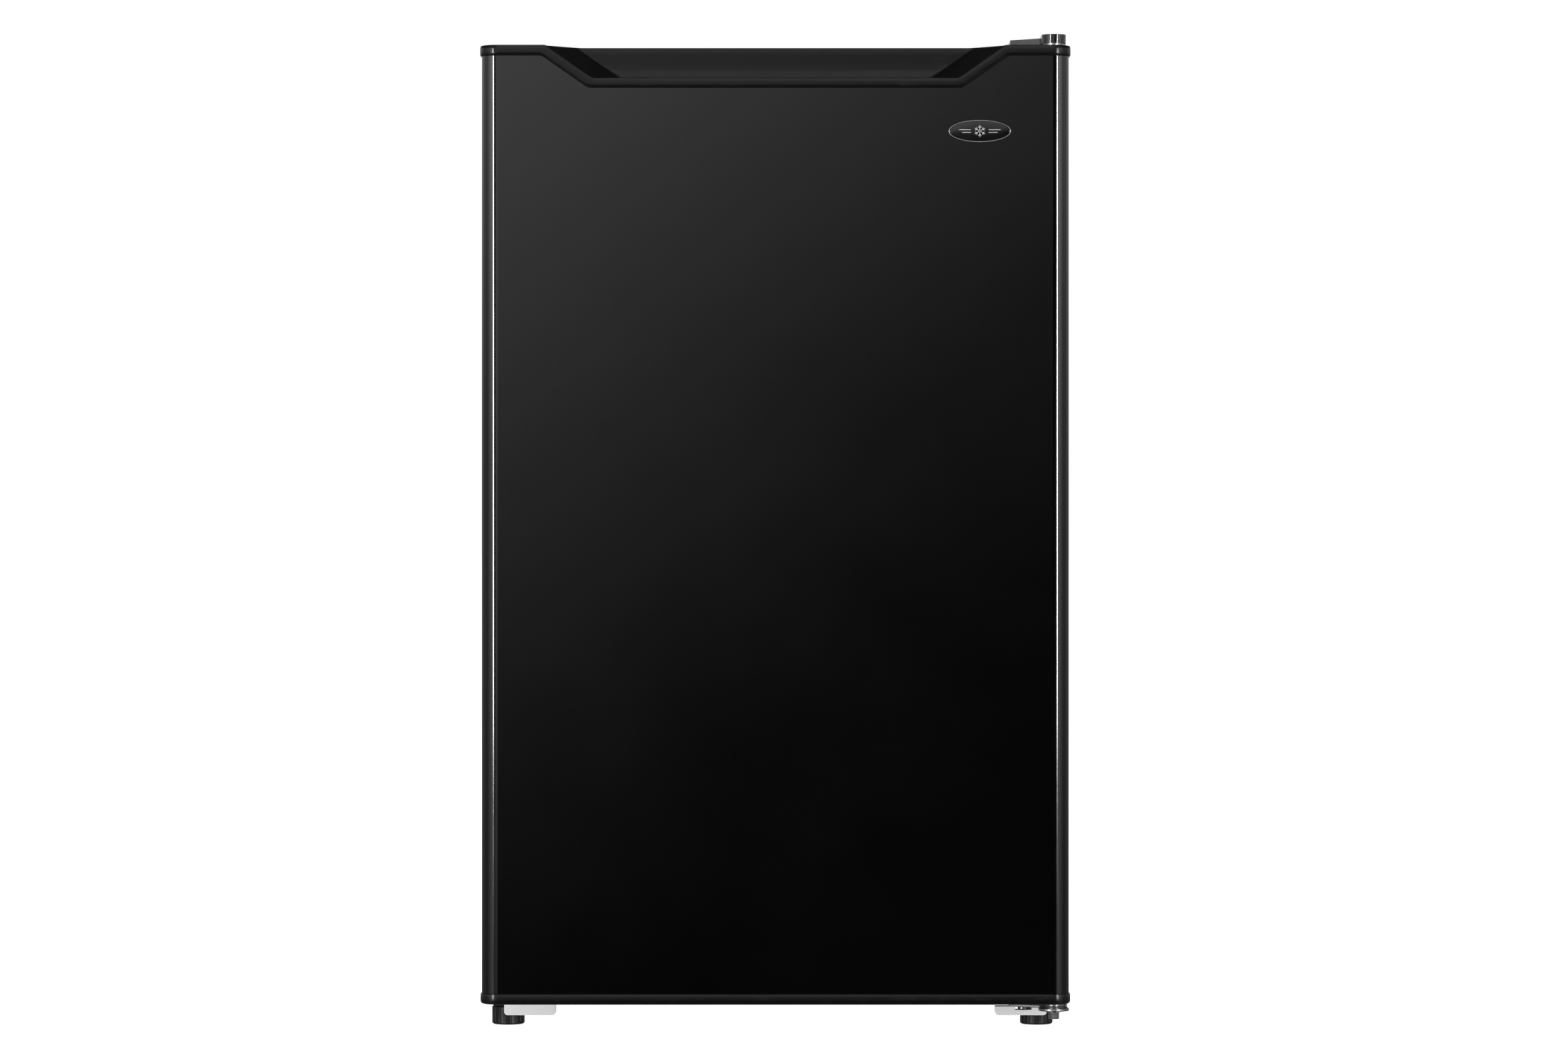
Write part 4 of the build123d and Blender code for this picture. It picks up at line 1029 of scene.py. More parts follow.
        # flat plates from the hollow's ends to the band
        for side, column in ((-1, 0), (1, len(xs) - 1)):
            edge_x = xs[column]
            rim = [
                p for p in self._inner_loop() if side * p[0] > side * edge_x - 1e-7
            ]
            rim.sort(key=lambda p: math.atan2(p[1] - (inner_front + rear) / 2, side * (p[0] - edge_x)))
            start = len(points)
            points += [(p[0], p[1], grip.top) for p in rim]
            seam = [base + column * count + j for j in range(count)]
            faces.append((*range(start, start + len(rim)), *reversed(seam[1:-1])))

    def _inner_loop(self) -> list[tuple[float, float]]:
        """The band's inner edge, seen from above."""
        plan = Plan(self.cap_high.x, self.cap_low.y, self.cap_high.y, self.cap_corner)
        stations = plan.stations(self.across(), 16)
        low, high = reach(stations)
        return [tuple(drawn_in(s, self.ring, low, high)) for s in stations]

    def _thicken(self, piece: bpy.types.Object) -> None:
        """Gives an open moulding its wall."""
        thick = piece.modifiers.new("wall", "SOLIDIFY")
        thick.thickness, thick.offset = self.wall, -1.0
        thick.use_even_offset = False
        harden(piece)

    def bottom_cap(self) -> None:
        """The lower cap: a tray with a full round lower edge and a narrow ledge against the skin."""
        low, high = self.foot_low, self.foot_high
        top = low.z + self.grip.band
        plan = Plan(self.cap_high.x, low.y, high.y, self.cap_corner)
        stations = plan.stations([k * 0.02 for k in range(-11, 12)], 16)

        def profile(_: int) -> list[tuple[float, float]]:
            """The tray's outside, from the ledge down and under."""
            pts = [(2.8 * MM, top - 0.5 * MM), (2.1 * MM, top - 0.05 * MM), (1.5 * MM, top)]
            pts += [(0.9 * MM, top - 0.12 * MM), (0.55 * MM, top - 0.45 * MM)]
            tall = top - 0.9 * MM - low.z
            for k in range(1, 16):
                t = k / 16
                inset = 0.42 * MM * (1 - t) ** 2 + 5.2 * MM * t**4.2
                pts.append((inset, top - 0.9 * MM - tall * math.sin(math.pi / 2 * t)))
            pts.append((5.6 * MM, low.z))
            return [*pts, (7.0 * MM, low.z)]

        points, faces, rows = skirt(stations, profile)
        faces.append(tuple(i * rows + rows - 1 for i in reversed(range(len(stations)))))
        mesh = mesh_of("door_bottom_moulding", points, faces)
        piece = link("door_bottom_moulding", mesh, Finish.CAP_BLACK, "door")
        self._thicken(piece)
        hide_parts("door_bottom_cap")

    def plugs(self) -> None:
        """The caps of the spare hinge holes, slightly domed."""
        low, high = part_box("door_hole_plugs")
        centre = ((low.x + high.x) / 2, (low.y + high.y) / 2)
        radius, flange = (high.x - low.x) / 2, 0.6 * MM
        points: list[Point] = []
        faces: list[Face] = []
        for face_z, way in ((high.z, 1.0), (low.z, -1.0)):
            dome = [(0.0, 0.0), (radius * 0.55, 0.05 * MM), (radius - 1.2 * MM, 0.12 * MM)]
            edge = [(radius - 0.3 * MM, 0.3 * MM), (radius, flange)]
            stem = [(6.4 * MM, flange), (6.4 * MM, 8.0 * MM), (0.0, 8.0 * MM)]
            pts, fcs = lathe(centre, [(r, face_z - way * down) for r, down in (*dome, *edge, *stem)])
            faces += [tuple(v + len(points) for v in f) for f in fcs]
            points += pts
        mesh = mesh_of("door_hole_caps", points, faces)
        piece = link("door_hole_caps", mesh, Finish.CAP_BLACK, "door")
        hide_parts("door_hole_plugs")

    def build(self) -> None:
        """Builds and dresses everything on the door's outside."""
        self.skin()
        self.top_cap()
        self.bottom_cap()
        self.plugs()
        dress("door_upper_bush", Finish.TRIM_WHITE, 0.2 * MM)
        dress("door_lower_bush", Finish.TRIM_WHITE, 0.2 * MM)


# -------------------------------------------------------------------------------- the other assemblies
@dataclass
class Nameplate:
    """The oval plate on the door: a bright rim round a dark, slightly domed blank with an ice crystal."""

    sides: int = 96
    rim: float = 0.6 * MM
    dome: float = 0.25 * MM
    arm: float = 5.0 * MM
    line: float = 0.42 * MM

    def __post_init__(self) -> None:
        """Reads the plate's place from the frame."""
        self.low, self.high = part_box("nameplate_rim")
        self.plate_low, self.plate_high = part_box("nameplate")
        self.centre = (self.low + self.high) / 2
        self.half = (self.high - self.low) / 2

    def ring(self, inset: float, y: float) -> list[Point]:
        """Points round the oval at a distance inside its edge."""
        out = []
        for k in range(self.sides):
            a = 2 * math.pi * k / self.sides
            wide, tall = self.half.x - inset, self.half.z - inset
            out.append((self.centre.x + wide * math.cos(a), y, self.centre.z + tall * math.sin(a)))
        return out

    def loft(self, rings: Sequence[Sequence[Point]], cap: bool) -> tuple[list[Point], list[Face]]:
        """Joins rings of points, and closes the last one where cap is true."""
        points = [p for ring in rings for p in ring]
        faces: list[Face] = []
        n = self.sides
        for r in range(len(rings) - 1):
            for k in range(n):
                faces.append((r * n + k, r * n + (k + 1) % n, (r + 1) * n + (k + 1) % n, (r + 1) * n + k))
        if cap:
            faces.append(tuple((len(rings) - 1) * n + k for k in range(n)))
        return points, faces

    def build(self) -> None:
        """Builds the rim, the blank and its mark."""
        rear, crest = self.high.y, self.low.y
        rings = []
        for k in range(9):
            a = math.pi * k / 8
            inset = self.rim * (0.5 - 0.5 * math.cos(a))
            rings.append(self.ring(inset, rear - (rear - crest) * (0.25 + 0.75 * math.sin(a))))
        rings = [self.ring(0.0, rear), *rings, self.ring(self.rim, rear), self.ring(0.0, rear)]
        points, faces = self.loft(rings, False)
        mesh = mesh_of("nameplate_band", points, faces)
        piece = link("nameplate_band", mesh, Finish.SATIN, "door")
        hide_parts("nameplate_rim")

        face = self.plate_low.y
        rings = [self.ring(self.rim * 0.6, rear), self.ring(self.rim * 0.6, face + self.dome)]
        reach = self.half.z - self.rim
        for k in range(1, 8):
            t = k / 8
            rings.append(self.ring(self.rim * 0.6 + reach * t, face + self.dome * (1 - t) ** 2))
        points, faces = self.loft(rings, True)
        faces.append(tuple(range(self.sides)))
        mesh = mesh_of("nameplate_blank", points, faces)
        piece = link("nameplate_blank", mesh, Finish.NAME_BLACK, "door")
        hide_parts("nameplate")
        self.mark(face)

    def mark(self, face: float) -> None:
        """An ice crystal of six barbed arms between short lines, raised a little from the blank."""
        points: list[Point] = []
        faces: list[Face] = []

        def bar(start: Vector, stop: Vector) -> None:
            """One raised line between two points in the plate's plane."""
            along = (stop - start).normalized()
            side = Vector((-along.y, along.x)) * self.line / 2
            base = len(points)
            for y in (face + 0.1 * MM, face - 0.12 * MM):
                for corner in (start - side, stop - side, stop + side, start + side):
                    points.append((self.centre.x + corner.x, y, self.centre.z + corner.y))
            faces.extend([(base, base + 1, base + 2, base + 3), (base + 7, base + 6, base + 5, base + 4)])
            for k in range(4):
                turn = (k + 1) % 4
                faces.append((base + k, base + turn, base + 4 + turn, base + 4 + k))

        for k in range(6):
            a = math.radians(30 + 60 * k)
            tip = Vector((math.cos(a), math.sin(a))) * self.arm
            bar(tip * 0.12, tip)
            for way in (-1, 1):
                b = a + way * math.radians(52)
                bar(tip * 0.55, tip * 0.55 + Vector((math.cos(b), math.sin(b))) * self.arm * 0.34)
        for way in (-1, 1):
            for rise, reach in ((-1.1 * MM, 15.0 * MM), (1.1 * MM, 17.5 * MM)):
                bar(Vector((way * 7.5 * MM, rise)), Vector((way * reach, rise)))
        mesh = mesh_of("nameplate_mark", points, faces, smooth=False, merge=1e-9)
        link("nameplate_mark", mesh, Finish.SATIN, "door")


@dataclass
class DoorInside:
    """The door's inner face: panel, foam edge, seal and racks."""

    rib_pitch: float = 11.5 * MM
    rib: float = 0.8 * MM

    def build(self) -> None:
        """Dresses the nodes and ribs the racks' fronts."""
        dress("door_inner_panel", Finish.LINER_WHITE, 1.2 * MM, 3)
        dress("door_foam", Finish.FOAM)
        dress("door_gasket", Finish.GASKET, 0.5 * MM)
        dress("gasket_magnets", Finish.MAGNET, 0.2 * MM)
        for node in ("door_bottle_rack", "door_middle_rack", "door_upper_rack"):
            dress(node, Finish.RACK_CLEAR, 0.5 * MM, 2)
            low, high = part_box(node)
            count = int((high.x - low.x - 24 * MM) / self.rib_pitch)
            reach = self.rib_pitch * (count - 1)
            tall = (high.z - low.z) - 14 * MM
            first, step = (-reach / 2, high.y, (low.z + high.z) / 2), (self.rib_pitch, 0.0, 0.0)
            ribs = rods(f"{node}_ribs_mesh", count, first, step, self.rib, tall, Finish.RACK_CLEAR, 10)
            link(f"{node}_ribs", ribs, Finish.RACK_CLEAR, "door")


@dataclass
class Cabinet:
    """The cabinet's shell: wrapper, rear panel, base, rail, liner, foam and the blocks under its front."""

    screw: float = 3.3 * MM
    screw_high: float = 1.5 * MM

    def build(self) -> None:
        """Dresses the shell and puts in the rear panel's screws."""
        dress("cabinet_wrapper", Finish.SIDE_STEEL, 0.5 * MM)
        dress("rear_panel", Finish.ZINC, 0.3 * MM)
        dress("base_plate", Finish.ZINC, 0.4 * MM)
        dress("front_rail", Finish.ZINC, 0.3 * MM)
        dress("inner_liner", Finish.LINER_WHITE, 1.2 * MM, 3)
        dress("cabinet_foam", Finish.FOAM)
        dress("left_front_block", Finish.BLOCK_WHITE, 0.9 * MM, 3)
        dress("right_front_block", Finish.BLOCK_WHITE, 0.9 * MM, 3)
        dress("rear_feet", Finish.BAY_BLACK, 0.8 * MM, 3)
        dress("cord_inlet", Finish.BAY_BLACK, 0.4 * MM)
        self.screws()

    def screws(self) -> None:
        """Pan-headed screws round the rear panel's edge."""
        low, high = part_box("rear_panel")
        r, h = self.screw, self.screw_high
        socket = [(0.0, 0.62), (0.30, 0.62), (0.34, 1.0)]
        head = [(0.62, 0.97), (0.88, 0.72), (1.0, 0.30), (1.0, 0.0), (0.0, 0.0)]
        points, faces = lathe((0.0, 0.0), [(r * out, h * up) for out, up in (*socket, *head)], 20)
        unit = mesh_of("screw_unit", [(x, z, y) for x, y, z in points], faces)
        edge = 9 * MM
        places = []
        for k in range(6):
            z = low.z + edge + (high.z - low.z - 2 * edge) * k / 5
            places += [(low.x + edge, high.y, z), (high.x - edge, high.y, z)]
        places += [(high.x * t, high.y, high.z - edge) for t in (-0.5, 0.0, 0.5)]
        mesh = scattered("rear_screws_mesh", unit, places, Finish.BRIGHT_ZINC)
        link("rear_screws", mesh, Finish.BRIGHT_ZINC, "cabinet")


@dataclass
class Hinges:
    """The hinges above and below the door."""

    def build(self) -> None:
        """Dresses the hinges' nodes."""
        dress("upper_hinge_bracket", Finish.HINGE_STEEL, 0.4 * MM, 3)
        dress("hinge_cover", Finish.COVER_BLACK, 1.0 * MM, 4)
        dress("hinge_screws", Finish.HINGE_STEEL, 0.4 * MM)
        dress("lower_hinge_plate", Finish.HINGE_STEEL, 0.7 * MM, 4)
        dress("lower_hinge_pin", Finish.HINGE_STEEL, 0.5 * MM, 3)
        self.washers()

    def washers(self) -> None:
        """A thin washer and a dished one between the plate and the collar, and a washer under the plate."""
        low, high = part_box("lower_hinge_plate")
        pin_low, pin_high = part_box("lower_hinge_pin")
        x, y = (pin_low.x + pin_high.x) / 2, (pin_low.y + pin_high.y) / 2
        top = high.z if high.z - low.z < 4 * MM else low.z + 2.5 * MM
        points: list[Point] = []
        faces: list[Face] = []
        flat = [(4.2, 0.0), (8.6, 0.0), (9.0, 0.25), (9.0, 0.55), (8.6, 0.8), (4.2, 0.8)]
        dished = [(4.2, 0.85), (8.0, 0.85), (8.3, 1.15), (7.4, 1.75), (4.2, 1.9)]
        under = [(4.2, -0.9), (7.0, -0.9), (7.3, -0.65), (7.3, -0.2), (7.0, 0.0), (4.2, 0.0)]
        for height, shape in ((top, flat), (top, dished), (low.z, under)):
            loop = [(r * MM, height + z * MM) for r, z in shape]
            pts, fcs = lathe((x, y), [*loop, loop[0]], 40)
            faces += [tuple(v + len(points) for v in f) for f in fcs]
            points += pts
        mesh = mesh_of("hinge_washers", points, faces)
        mesh.set_sharp_from_angle(angle=math.radians(50))
        link("hinge_washers", mesh, Finish.HINGE_STEEL, "cabinet")


@dataclass
class Feet:
    """The two levelling feet: threaded stems in ribbed knobs."""

    pitch: float = 1.25 * MM
    thread: float = 0.35 * MM

    def build(self) -> None:
        """Dresses the knobs and cuts the stems' threads."""
        for side in ("left", "right"):
            dress(f"{side}_foot_knob", Finish.FOOT_BLACK, 0.45 * MM, 2)
            self.stem(f"{side}_foot_stem")

    def stem(self, node: str) -> None:
        """A stem with a rolled thread, in place of the plain one."""
        low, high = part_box(node)
        centre = ((low.x + high.x) / 2, (low.y + high.y) / 2)
        radius = (high.x - low.x) / 2
        profile = [(0.0, low.z), (radius - self.thread, low.z)]
        z = low.z + self.pitch / 2
        while z + self.pitch / 2 < high.z:
            profile += [(radius - self.thread, z - self.pitch * 0.35), (radius, z - self.pitch * 0.08)]
            profile += [(radius, z + self.pitch * 0.08), (radius - self.thread, z + self.pitch * 0.35)]
            z += self.pitch
        profile += [(radius - self.thread, high.z), (0.0, high.z)]
        points, faces = lathe(centre, profile, 28)
        mesh = mesh_of(f"{node}_threaded", points, faces)
        mesh.set_sharp_from_angle(angle=math.radians(60))
        piece = link(f"{node}_threaded", mesh, Finish.ZINC, node)
        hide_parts(node)


@dataclass
class Shelving:
    """The glass shelves, their trims and the crisper."""

    rib_pitch: float = 14.0 * MM
    rib: float = 0.9 * MM
    rib_high: float = 92 * MM

    def build(self) -> None:
        """Dresses the shelves and ribs the crisper's front."""
        for node in ("lower_shelf_glass", "upper_shelf_glass", "crisper_cover_glass"):
            dress(node, Finish.GLASS, 0.5 * MM)
        dress("shelf_trims", Finish.TRIM_WHITE, 0.8 * MM, 3)
        dress("crisper_drawer", Finish.RACK_CLEAR, 0.7 * MM)
        low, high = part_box("crisper_drawer")
        count = int((high.x - low.x - 60 * MM) / self.rib_pitch)
        reach = self.rib_pitch * (count - 1)
        first, step = (-reach / 2, low.y, (low.z + high.z) / 2 - 8 * MM), (self.rib_pitch, 0.0, 0.0)
        ribs = rods("crisper_ribs_mesh", count, first, step, self.rib, self.rib_high, Finish.RACK_CLEAR, 10)
        link("crisper_ribs", ribs, Finish.RACK_CLEAR, "crisper_drawer")


@dataclass
class Freezer:
    """The ice box: roll-bonded evaporator, frame, flap, tray and rails."""

    channel: float = 2.1 * MM
    pitch: float = 26.0 * MM

    def build(self) -> None:
        """Dresses the box and lays its raised channels."""
        dress("evaporator_box", Finish.ALUMINIUM, 0.6 * MM, 3)
        dress("freezer_frame", Finish.TRIM_WHITE, 0.8 * MM, 3)
        dress("freezer_flap", Finish.FROSTED, 0.6 * MM, 3)
        dress("drip_tray", Finish.FROSTED, 0.7 * MM, 3)
        dress("tray_rails", Finish.TRIM_WHITE, 0.6 * MM)
        low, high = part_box("evaporator_box")
        routes = []
        for z in (low.z, high.z):
            x0, x1, y = low.x + 22 * MM, high.x - 22 * MM, low.y + 24 * MM
            route, right = [(x0, y, z)], True
            while y < high.y - 20 * MM:
                route += [(x1 if right else x0, y, z)]
                y += self.pitch
                route += [(x1 if right else x0, y, z)]
                right = not right
            routes.append(route[:-1])
        for x in (low.x, high.x):
            z, y0, y1 = low.z + 24 * MM, low.y + 24 * MM, high.y - 24 * MM
            route, rear = [(x, y0, z)], True
            while z < high.z - 20 * MM:
                route += [(x, y1 if rear else y0, z)]
                z += self.pitch
                route += [(x, y1 if rear else y0, z)]
                rear = not rear
            routes.append(route[:-1])
        mesh = tube("evaporator_channels_mesh", routes, self.channel, 11 * MM, Finish.ALUMINIUM, 12)
        link("evaporator_channels", mesh, Finish.ALUMINIUM, "cabinet")


@dataclass
class Controls:
    """The thermostat: housing with a scale of raised ticks, dial and defrost button."""

    ticks: int = 9
    tick: tuple[float, float, float] = (0.5 * MM, 0.8 * MM, 2.6 * MM)

    def build(self) -> None:
        """Dresses the controls and sets the ticks round the dial."""
        dress("thermostat_housing", Finish.TRIM_WHITE, 1.2 * MM, 3)
        dress("thermostat_knob", Finish.DIAL_GREY, 0.5 * MM, 3)
        dress("defrost_button", Finish.BUTTON_RED, 0.6 * MM, 3)
        low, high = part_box("thermostat_knob")
        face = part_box("thermostat_housing")[0].x
        y, z, radius = (low.y + high.y) / 2, (low.z + high.z) / 2, (high.z - low.z) / 2 + 3.6 * MM
        points: list[Point] = []
        faces: list[Face] = []
        for k in range(self.ticks):
            a = math.radians(-45 + 270 * k / (self.ticks - 1))
            out, side = Vector((math.cos(a), math.sin(a))), Vector((-math.sin(a), math.cos(a)))
            base = len(points)
            grow = 1.0 if k % 4 else 1.5
            for x in (face + 0.2 * MM, face - self.tick[0]):
                for along, across in ((-1, -1), (1, -1), (1, 1), (-1, 1)):
                    at = out * (radius + along * self.tick[2] / 2) + side * across * self.tick[1] / 2 * grow
                    points.append((x, y + at.x, z + at.y))
            faces += [(base, base + 1, base + 2, base + 3), (base + 7, base + 6, base + 5, base + 4)]
            faces += [(base + j, base + (j + 1) % 4, base + 4 + (j + 1) % 4, base + 4 + j) for j in range(4)]
        mesh = mesh_of("dial_ticks", points, faces, smooth=False)
        link("dial_ticks", mesh, Finish.DIAL_GREY, "cabinet")


@dataclass
class Cooling:
    """What hangs behind and under the cabinet: condenser, compressor, pipes and pan."""

    wires: int = 36
    wire: float = 0.8 * MM
    runs: int = 15
    pitch: float = 40.0 * MM
    bend: float = 18.0 * MM

    def build(self) -> None:
        """Builds the condenser and dresses the rest."""
        self.condenser()
        dress("condenser_brackets", Finish.ENAMEL_BLACK, 0.5 * MM)
        dress("compressor", Finish.ENAMEL_BLACK, 0.8 * MM, 2)
        dress("compressor_rail", Finish.ZINC, 0.4 * MM)
        dress("compressor_mounts", Finish.GROMMET, 0.5 * MM)
        dress("relay_box", Finish.BAY_BLACK, 1.0 * MM, 3)
        dress("filter_drier", Finish.COPPER, 0.3 * MM)
        dress("refrigerant_pipes", Finish.COPPER)
        dress("drain_pan", Finish.BAY_BLACK, 1.0 * MM, 3)

    def condenser(self) -> None:
        """The serpentine tube and the wires on both sides of it."""
        low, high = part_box("condenser_tube")
        radius = (high.y - low.y) / 2
        y = (low.y + high.y) / 2
        left, riser, top = low.x + radius, high.x - radius, high.z - radius
        right = -left
        route: list[Point] = [(riser, y, low.z), (riser, y, top), (left, y, top)]
        z = top
        for k in range(1, self.runs):
            z -= self.pitch
            ends = (left, right) if k % 2 else (right, left)
            route += [(ends[0], y, z), (ends[1], y, z)]
        route.append((left, y, 176 * MM))
        mesh = tube("condenser_coil_mesh", [route], radius, self.bend, Finish.ENAMEL_BLACK, 14)
        piece = link("condenser_coil", mesh, Finish.ENAMEL_BLACK, "cabinet")
        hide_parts("condenser_tube")

        low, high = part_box("condenser_wires")
        reach = (high.x - low.x) - 2 * self.wire
        step = (reach / (self.wires - 1), 0.0, 0.0)
        for label, at in (("front", low.y + self.wire), ("rear", high.y - self.wire)):
            first = (low.x + self.wire, at, (low.z + high.z) / 2)
            tall = high.z - low.z
            name = f"condenser_{label}_wires"
            mesh = rods(f"{name}_mesh", self.wires, first, step, self.wire, tall, Finish.ENAMEL_BLACK, 8)
            piece = link(name, mesh, Finish.ENAMEL_BLACK, "cabinet")
            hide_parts("condenser_wires")


# ----------------------------------------------------------------------------------- the room round it
@dataclass
class Studio:
    """A plain pale floor, soft panels and the camera."""

    distance: float = 4.6
    aside: float = 0.00733
    eye: float = 0.4315
    view_wide: float = 1.32321
    sensor: float = 36.0
    floor_half: float = 60.0
    floor_glow: float = 0.95
    door_half: float = 0.24
    strip_angle: float = 32.0
    strip_half: float = 2.0
    strip_reach: float = 9.0
    strip_tall: float = 1.9
    strip_rise: float = 0.42
    strip_glow: float = 80.0
    side_near: float = 2.6
    side_far: float = 0.55
    front_tone: float = 1.12
    front_start: float = -0.048
    front_reach: float = 0.142

    def floor(self) -> None:
        """The floor: a wide pale sheet."""
        half = self.floor_half
        mesh = bpy.data.meshes.new("floor")
        corners = [(x * half, y * half, 0.0) for x, y in ((-1, -1), (1, -1), (1, 1), (-1, 1))]
        mesh.from_pydata(corners, [], [(0, 1, 2, 3)])
        piece = bpy.data.objects.new("floor", mesh)
        bpy.context.scene.collection.objects.link(piece)
        s = Shade("floor_paper")
        fine = s.noise(3.0, 4.0)
        mesh.materials.append(
            s.finish(
                Base_Color=s.tint(s.spread(fine, 0.0, 1.0), (0.93, 0.93, 0.93), (0.90, 0.90, 0.90)),
                Roughness=0.9,
                Emission_Color=(1.0, 1.0, 1.0, 1.0),
                Emission_Strength=self.floor_glow,
            )
        )
        piece.visible_glossy = False
        piece.visible_shadow = False

    def panel(
        self, name: str, at: Point, size: tuple[float, float], power: float, aim: Point, seen: bool = False
    ) -> None:
        """A soft panel light.

        Args:
            name: its name.
            at: its place.
            size: its width and height.
            power: its power in watts.
            aim: the point it faces.
            seen: whether it only shows in glossy surfaces; otherwise it only lights the dull ones.
        """
        data = bpy.data.lights.new(name, "AREA")
        data.shape = "RECTANGLE"
        data.size, data.size_y = size
        data.energy = power
        lamp = bpy.data.objects.new(name, data)
        lamp.location = at
        turn = (Vector(aim) - Vector(at)).to_track_quat("-Z", "Y")
        lamp.rotation_euler = turn.to_euler()
        lamp.visible_glossy = seen
        lamp.visible_diffuse = not seen
        lamp.visible_camera = False
        bpy.context.scene.collection.objects.link(lamp)

    def lights(self) -> None:
        """Two tall windows that draw the lines down the door's corners, and soft panels for dull faces."""
        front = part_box("door_skin")[0].y
        angle = math.radians(self.strip_angle)
        wide = 2 * self.strip_reach * math.tan(math.radians(self.strip_half))
        area = wide * self.strip_tall
        for side in (-1, 1):
            at = (
                side * (self.door_half + self.strip_reach * math.sin(angle)),
                front - self.strip_reach * math.cos(angle),
                self.eye + self.strip_rise,
            )
            aim = (side * self.door_half, front, self.eye + self.strip_rise)
            power = self.strip_glow * math.pi * area
            self.panel(f"window_{side}", at, (wide, self.strip_tall), power, aim, seen=True)
        self.panel("over", (0.0, -0.6, 3.6), (4.0, 4.0), 120.0, (0.0, 0.0, 0.0))
        self.panel("behind_left", (-3.2, 3.4, 2.4), (2.5, 2.5), 90.0, (0.0, 0.2, 0.4))
        self.panel("behind_right", (3.2, 3.4, 2.4), (2.5, 2.5), 90.0, (0.0, 0.2, 0.4))
        self.panel("fill", (0.0, -4.2, 2.2), (3.0, 2.0), 30.0, (0.0, 0.0, 0.4))

    def sky(self) -> None:
        """The space around: white where it is looked at; glossy faces find a soft room in it.

        Straight in front the room is dark low down on the right and lighter high up on the left. Beyond
        the two windows the light grows again, more above the eye than below it, and fades towards the back.
        """
        world = bpy.data.worlds.new("surround")
        bpy.context.scene.world = world
        world.use_nodes = True
        tree = world.node_tree
        tree.nodes.clear()

        def math_node(kind: str, first: object, second: object = 0.0, third: object = 0.0) -> Socket:
            """One math node; a number is set and a socket is joined."""
            node = tree.nodes.new("ShaderNodeMath")
            node.operation = kind
            for socket, value in zip(node.inputs, (first, second, third)):
                if isinstance(value, Socket):
                    tree.links.new(value, socket)
                else:
                    socket.default_value = value
            return node.outputs[0]

        def ramp(value: Socket, start: float, stop: float, low: float, high: float) -> Socket:
            """A smooth step from low at start to high at stop."""
            node = tree.nodes.new("ShaderNodeMapRange")
            node.interpolation_type = "SMOOTHSTEP"
            for key, number in (("From Min", start), ("From Max", stop), ("To Min", low), ("To Max", high)):
                node.inputs[key].default_value = number
            tree.links.new(value, node.inputs["Value"])
            return node.outputs[0]

        place = tree.nodes.new("ShaderNodeTexCoord")
        split = tree.nodes.new("ShaderNodeSeparateXYZ")
        tree.links.new(place.outputs["Generated"], split.inputs[0])
        x, y, z = split.outputs
        forward = math_node("MULTIPLY", y, -1.0)
        ahead = math_node("MAXIMUM", forward, 0.05)
        lean = math_node(
            "DIVIDE", math_node("ADD", math_node("MULTIPLY", x, -0.62), math_node("MULTIPLY", z, 0.78)), ahead
        )
        climb = math_node("DIVIDE", math_node("SUBTRACT", lean, self.front_start), self.front_reach)
        climb = math_node("MINIMUM", math_node("MAXIMUM", climb, 0.0), 1.05)
        glow = math_node("MULTIPLY", math_node("POWER", climb, 2.1), self.front_tone)
        turn = math_node("ABSOLUTE", math_node("ARCTAN2", x, forward))
        for fade in (
            ramp(turn, 0.16, 0.34, 1.0, 0.2),
            ramp(z, 0.14, 0.30, 1.0, 1.1),
            ramp(turn, 0.5, 0.9, 1.0, 0.0),
        ):
            glow = math_node("MULTIPLY", glow, fade)
        edge = math.radians(self.strip_angle)
        sides = ramp(turn, edge, edge + 0.12, 0.0, 1.0)
        for fade in (
            ramp(turn, edge, 1.5, self.side_near, self.side_far),
            ramp(z, 0.25, 0.65, 1.0, 0.25),
            ramp(z, -0.8, -0.2, 0.5, 1.0),
            ramp(z, -0.11, 0.0, 0.30, 0.60),
            ramp(z, 0.0, 0.10, 1.0, 2.4),
            ramp(z, 0.11, 0.24, 1.0, 0.15),
        ):
            sides = math_node("MULTIPLY", sides, fade)
        total = math_node("ADD", glow, sides)

        room = tree.nodes.new("ShaderNodeBackground")
        room.inputs["Color"].default_value = (1.0, 1.0, 1.0, 1.0)
        tree.links.new(total, room.inputs["Strength"])
        white = tree.nodes.new("ShaderNodeBackground")
        white.inputs["Color"].default_value = (1.0, 1.0, 1.0, 1.0)
        path = tree.nodes.new("ShaderNodeLightPath")
        mix = tree.nodes.new("ShaderNodeMixShader")
        tree.links.new(path.outputs["Is Camera Ray"], mix.inputs[0])
        tree.links.new(room.outputs[0], mix.inputs[1])
        tree.links.new(white.outputs[0], mix.inputs[2])
        out = tree.nodes.new("ShaderNodeOutputWorld")
        tree.links.new(mix.outputs[0], out.inputs[0])

    def camera(self) -> None:
        """The camera: level, straight in front of the door, a little above its middle."""
        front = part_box("door_top_cap")[0].y
        data = bpy.data.cameras.new("camera")
        data.sensor_width = self.sensor
        data.lens = self.distance / self.view_wide * self.sensor
        data.clip_end = 200.0
        piece = bpy.data.objects.new("camera", data)
        piece.location = (self.aside, front - self.distance, self.eye)
        piece.rotation_euler = (math.radians(90.0), 0.0, 0.0)
        bpy.context.scene.collection.objects.link(piece)
        bpy.context.scene.camera = piece

    def build(self) -> None:
        """Sets the whole studio up."""
        bpy.context.scene.view_settings.view_transform = "Standard"
        bpy.context.scene.view_settings.look = "None"
        self.floor()
        self.lights()
        self.sky()
        self.camera()


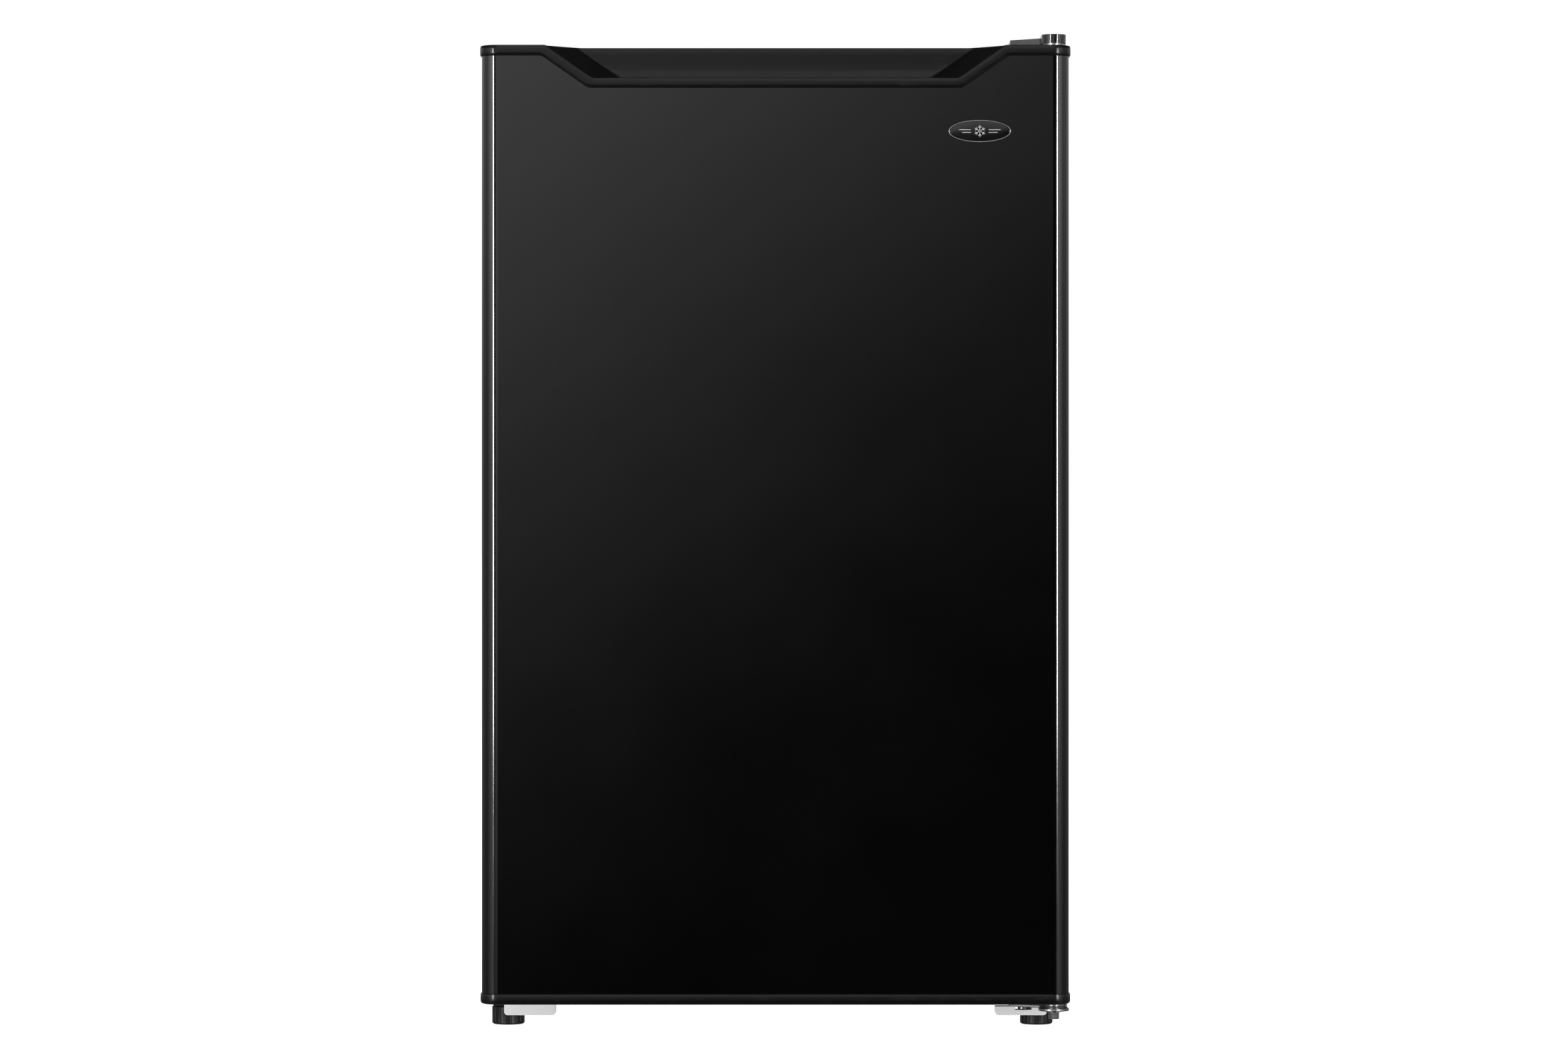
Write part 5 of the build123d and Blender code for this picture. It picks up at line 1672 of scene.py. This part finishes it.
def main() -> None:
    """Builds the fridge and its studio."""
    logging.basicConfig(level=logging.INFO, format="%(message)s")
    DoorShell().build()
    Nameplate().build()
    DoorInside().build()
    Cabinet().build()
    Hinges().build()
    Feet().build()
    Shelving().build()
    Freezer().build()
    Controls().build()
    Cooling().build()
    Studio().build()


if __name__ == "__main__":
    main()
